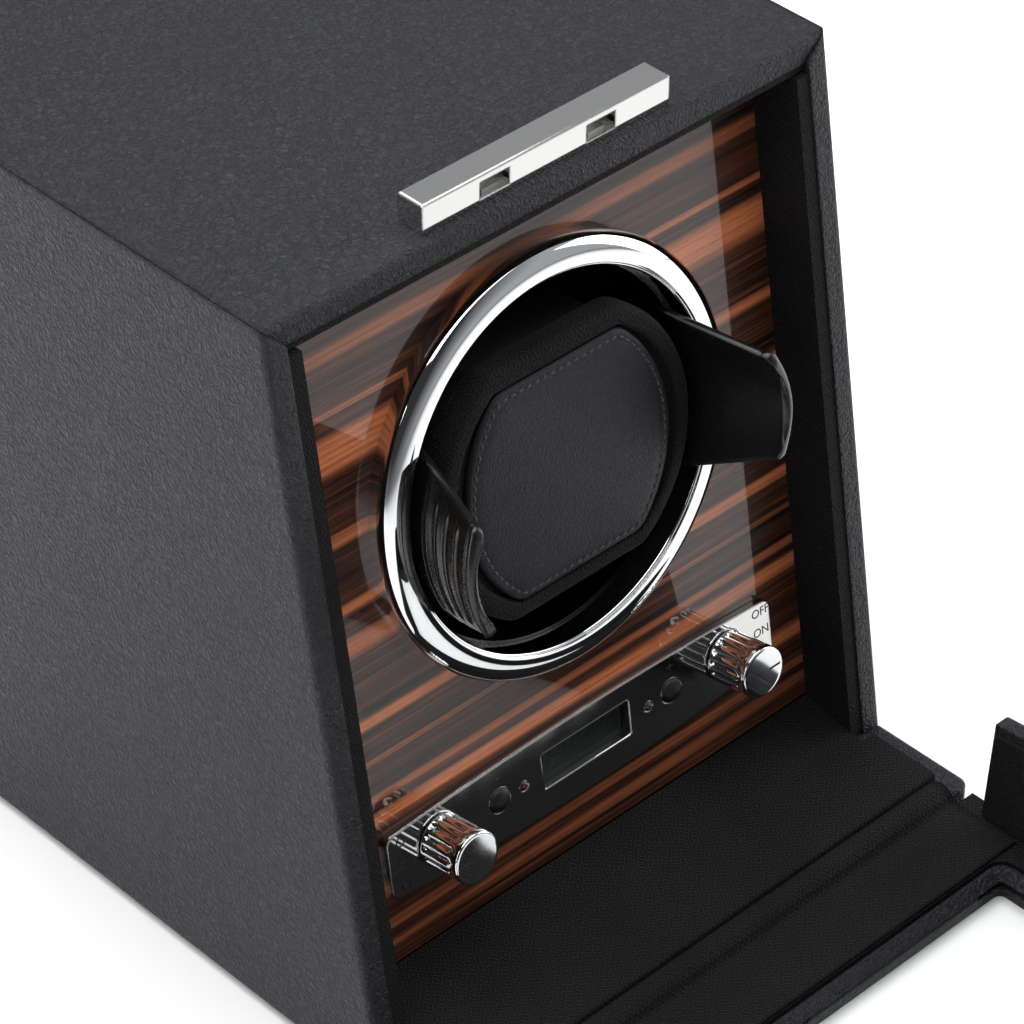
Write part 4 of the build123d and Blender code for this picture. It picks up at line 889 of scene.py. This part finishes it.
def make_digits():
    parts = []
    for place in range(4):
        centre = -7.6 + place * 4.6
        for start, end in SEGMENTS:
            first = (centre + start[0] * 3.0 + start[1] * 0.25, start[1] * 2.7)
            last = (centre + end[0] * 3.0 + end[1] * 0.25, end[1] * 2.7)
            gap = 0.12
            length = sqrt((last[0] - first[0]) ** 2 + (last[1] - first[1]) ** 2)
            pull = gap / length
            start_at = tuple(a + (b - a) * pull for a, b in zip(first, last))
            end_at = tuple(b - (b - a) * pull for a, b in zip(first, last))
            parts.append(bar_between(start_at, end_at, 0.30, -1.02, -0.99))
    digits = plastic("lcd_segments", (0.005, 0.008, 0.006), 0.3)
    new_piece("lcd_digits", *merge(parts), "lcd", "case", digits, smooth=False)


make_digits()


def legend(name, text, x, v, size):
    """A printed word or sign on the control plate."""
    curve = bpy.data.curves.new(name, "FONT")
    curve.body = text
    curve.size = size * MM
    curve.align_x, curve.align_y = "CENTER", "CENTER"
    curve.extrude = 0.02 * MM
    curve.materials.append(INK)
    letter = bpy.data.objects.new(name, curve)
    bpy.context.scene.collection.objects.link(letter)
    bpy.context.view_layer.update()
    mesh = bpy.data.meshes.new_from_object(letter)
    bpy.data.objects.remove(letter)
    points = []
    for point in mesh.vertices:
        across, up, out = (part / MM for part in point.co)
        points.append(on_fascia(x + across, v + up, PLATE_TOP_N + 0.02 + out))
    faces = [tuple(polygon.vertices) for polygon in mesh.polygons]
    new_piece(name, points, faces, "black_matte", "case", INK, smooth=False)


legend("legend_off", "OFF", 58.2, 46.0, 3.3)
legend("legend_on", "ON", 58.0, 40.6, 3.3)
legend("legend_minus", "-", -27.5, 46.6, 5.0)
legend("legend_plus", "+", 27.8, 46.6, 4.2)


SIGN_X = -57.3


def make_turn_signs():
    """Three signs for the turning programs: clockwise, both ways and anticlockwise."""
    parts = []
    inner, outer, steps, span = 0.95, 1.35, 20, 290
    for v_at, gap_at, ways in ((45.9, 40, (1,)), (40.3, 90, (1, -1)), (34.0, 140, (-1,))):
        start = gap_at + 35
        ring, faces = [], []
        for step in range(steps + 1):
            turn = radians(start + span * step / steps)
            for radius in (inner, outer):
                at = (SIGN_X + radius * cos(turn), v_at + radius * sin(turn))
                ring.append(on_fascia(*at, PLATE_TOP_N + 0.04))
        for first in range(0, 2 * steps, 2):
            faces.append((first, first + 1, first + 3, first + 2))
        parts.append((ring, faces))
        for way in ways:
            turn = radians(start + (span if way > 0 else 0))
            middle = (inner + outer) / 2
            at = (SIGN_X + middle * cos(turn), v_at + middle * sin(turn))
            ahead = turn + way * pi / 2
            tips = [ahead, ahead + 2.4, ahead - 2.4]
            arrow = [(at[0] + 0.75 * cos(tip), at[1] + 0.75 * sin(tip)) for tip in tips]
            points = [on_fascia(*tip, PLATE_TOP_N + 0.05) for tip in arrow]
            parts.append((points, [(0, 1, 2)]))
    new_piece("turn_signs", *merge(parts), "black_matte", "case", INK, smooth=False)


make_turn_signs()

# ---------------------------------------------------------------- camera, floor and lights

CAMERA_AT = Vector((-0.53567, -0.48475, 0.70841))
CAMERA_AZIMUTH = -43.784
CAMERA_ELEVATION = 38.302


def make_camera():
    camera = bpy.data.objects.new("camera", bpy.data.cameras.new("camera"))
    camera.data.lens = 153.96
    camera.data.sensor_width = 36.0
    camera.data.clip_start, camera.data.clip_end = 0.01, 50.0
    turn, rise = radians(CAMERA_AZIMUTH), radians(CAMERA_ELEVATION)
    back = Vector((sin(turn) * cos(rise), -cos(turn) * cos(rise), sin(rise)))
    camera.location = CAMERA_AT
    camera.rotation_mode = "QUATERNION"
    camera.rotation_quaternion = back.to_track_quat("Z", "Y")
    bpy.context.scene.collection.objects.link(camera)
    bpy.context.scene.camera = camera


def make_floor():
    half = 6.0
    points = [(-half, -half, 0), (half, -half, 0), (half, half, 0), (-half, half, 0)]
    mesh = bpy.data.meshes.new("floor")
    mesh.from_pydata(points, [], [(0, 1, 2, 3)])
    shader = Shader("pale_floor", Roughness=0.6, Specular_IOR_Level=0.2)
    tone = shader.noise(3.0, 2.0, 0.5)
    shader.set("Base Color", shader.mix(tone, (0.93, 0.93, 0.93), (0.95, 0.95, 0.95)))
    mesh.materials.append(shader.material)
    floor = bpy.data.objects.new("floor", mesh)
    bpy.context.scene.collection.objects.link(floor)


def soft_box(name, at, size, power, target=(0.0, 0.02, 0.09), tint=(1, 1, 1)):
    data = bpy.data.lights.new(name, "AREA")
    data.shape = "RECTANGLE"
    data.size, data.size_y = size
    data.energy = power
    data.color = tint
    lamp = bpy.data.objects.new(name, data)
    lamp.location = at
    lamp.rotation_mode = "QUATERNION"
    lamp.rotation_quaternion = (Vector(at) - Vector(target)).to_track_quat("Z", "Y")
    bpy.context.scene.collection.objects.link(lamp)


def make_world():
    """Even soft surroundings, darker round the camera's side of the room."""
    world = bpy.data.worlds.new("studio")
    world.use_nodes = True
    nodes, links = world.node_tree.nodes, world.node_tree.links
    direction = nodes.new("ShaderNodeTexCoord").outputs["Generated"]
    towards = nodes.new("ShaderNodeVectorMath")
    towards.operation = "DOT_PRODUCT"
    towards.inputs[1].default_value = CAMERA_AT.normalized()
    links.new(direction, towards.inputs[0])
    fall = nodes.new("ShaderNodeMapRange")
    for socket, value in (("From Min", 0.35), ("From Max", 0.85), ("To Min", 0.45), ("To Max", 0.04)):
        fall.inputs[socket].default_value = value
    links.new(towards.outputs["Value"], fall.inputs["Value"])
    background = nodes["Background"]
    background.inputs["Color"].default_value = (0.95, 0.97, 1.0, 1)
    links.new(fall.outputs[0], background.inputs["Strength"])
    bpy.context.scene.world = world


def make_lights():
    soft_box("overhead", (-0.05, 0.24, 1.20), (1.5, 1.5), 28.0)
    soft_box("left", (-1.15, 0.25, 0.55), (0.9, 0.9), 8.0)
    soft_box("right", (1.15, -0.35, 0.45), (0.8, 0.9), 6.0)
    bpy.context.scene.view_settings.view_transform = "Standard"


make_camera()
make_floor()
make_world()
make_lights()
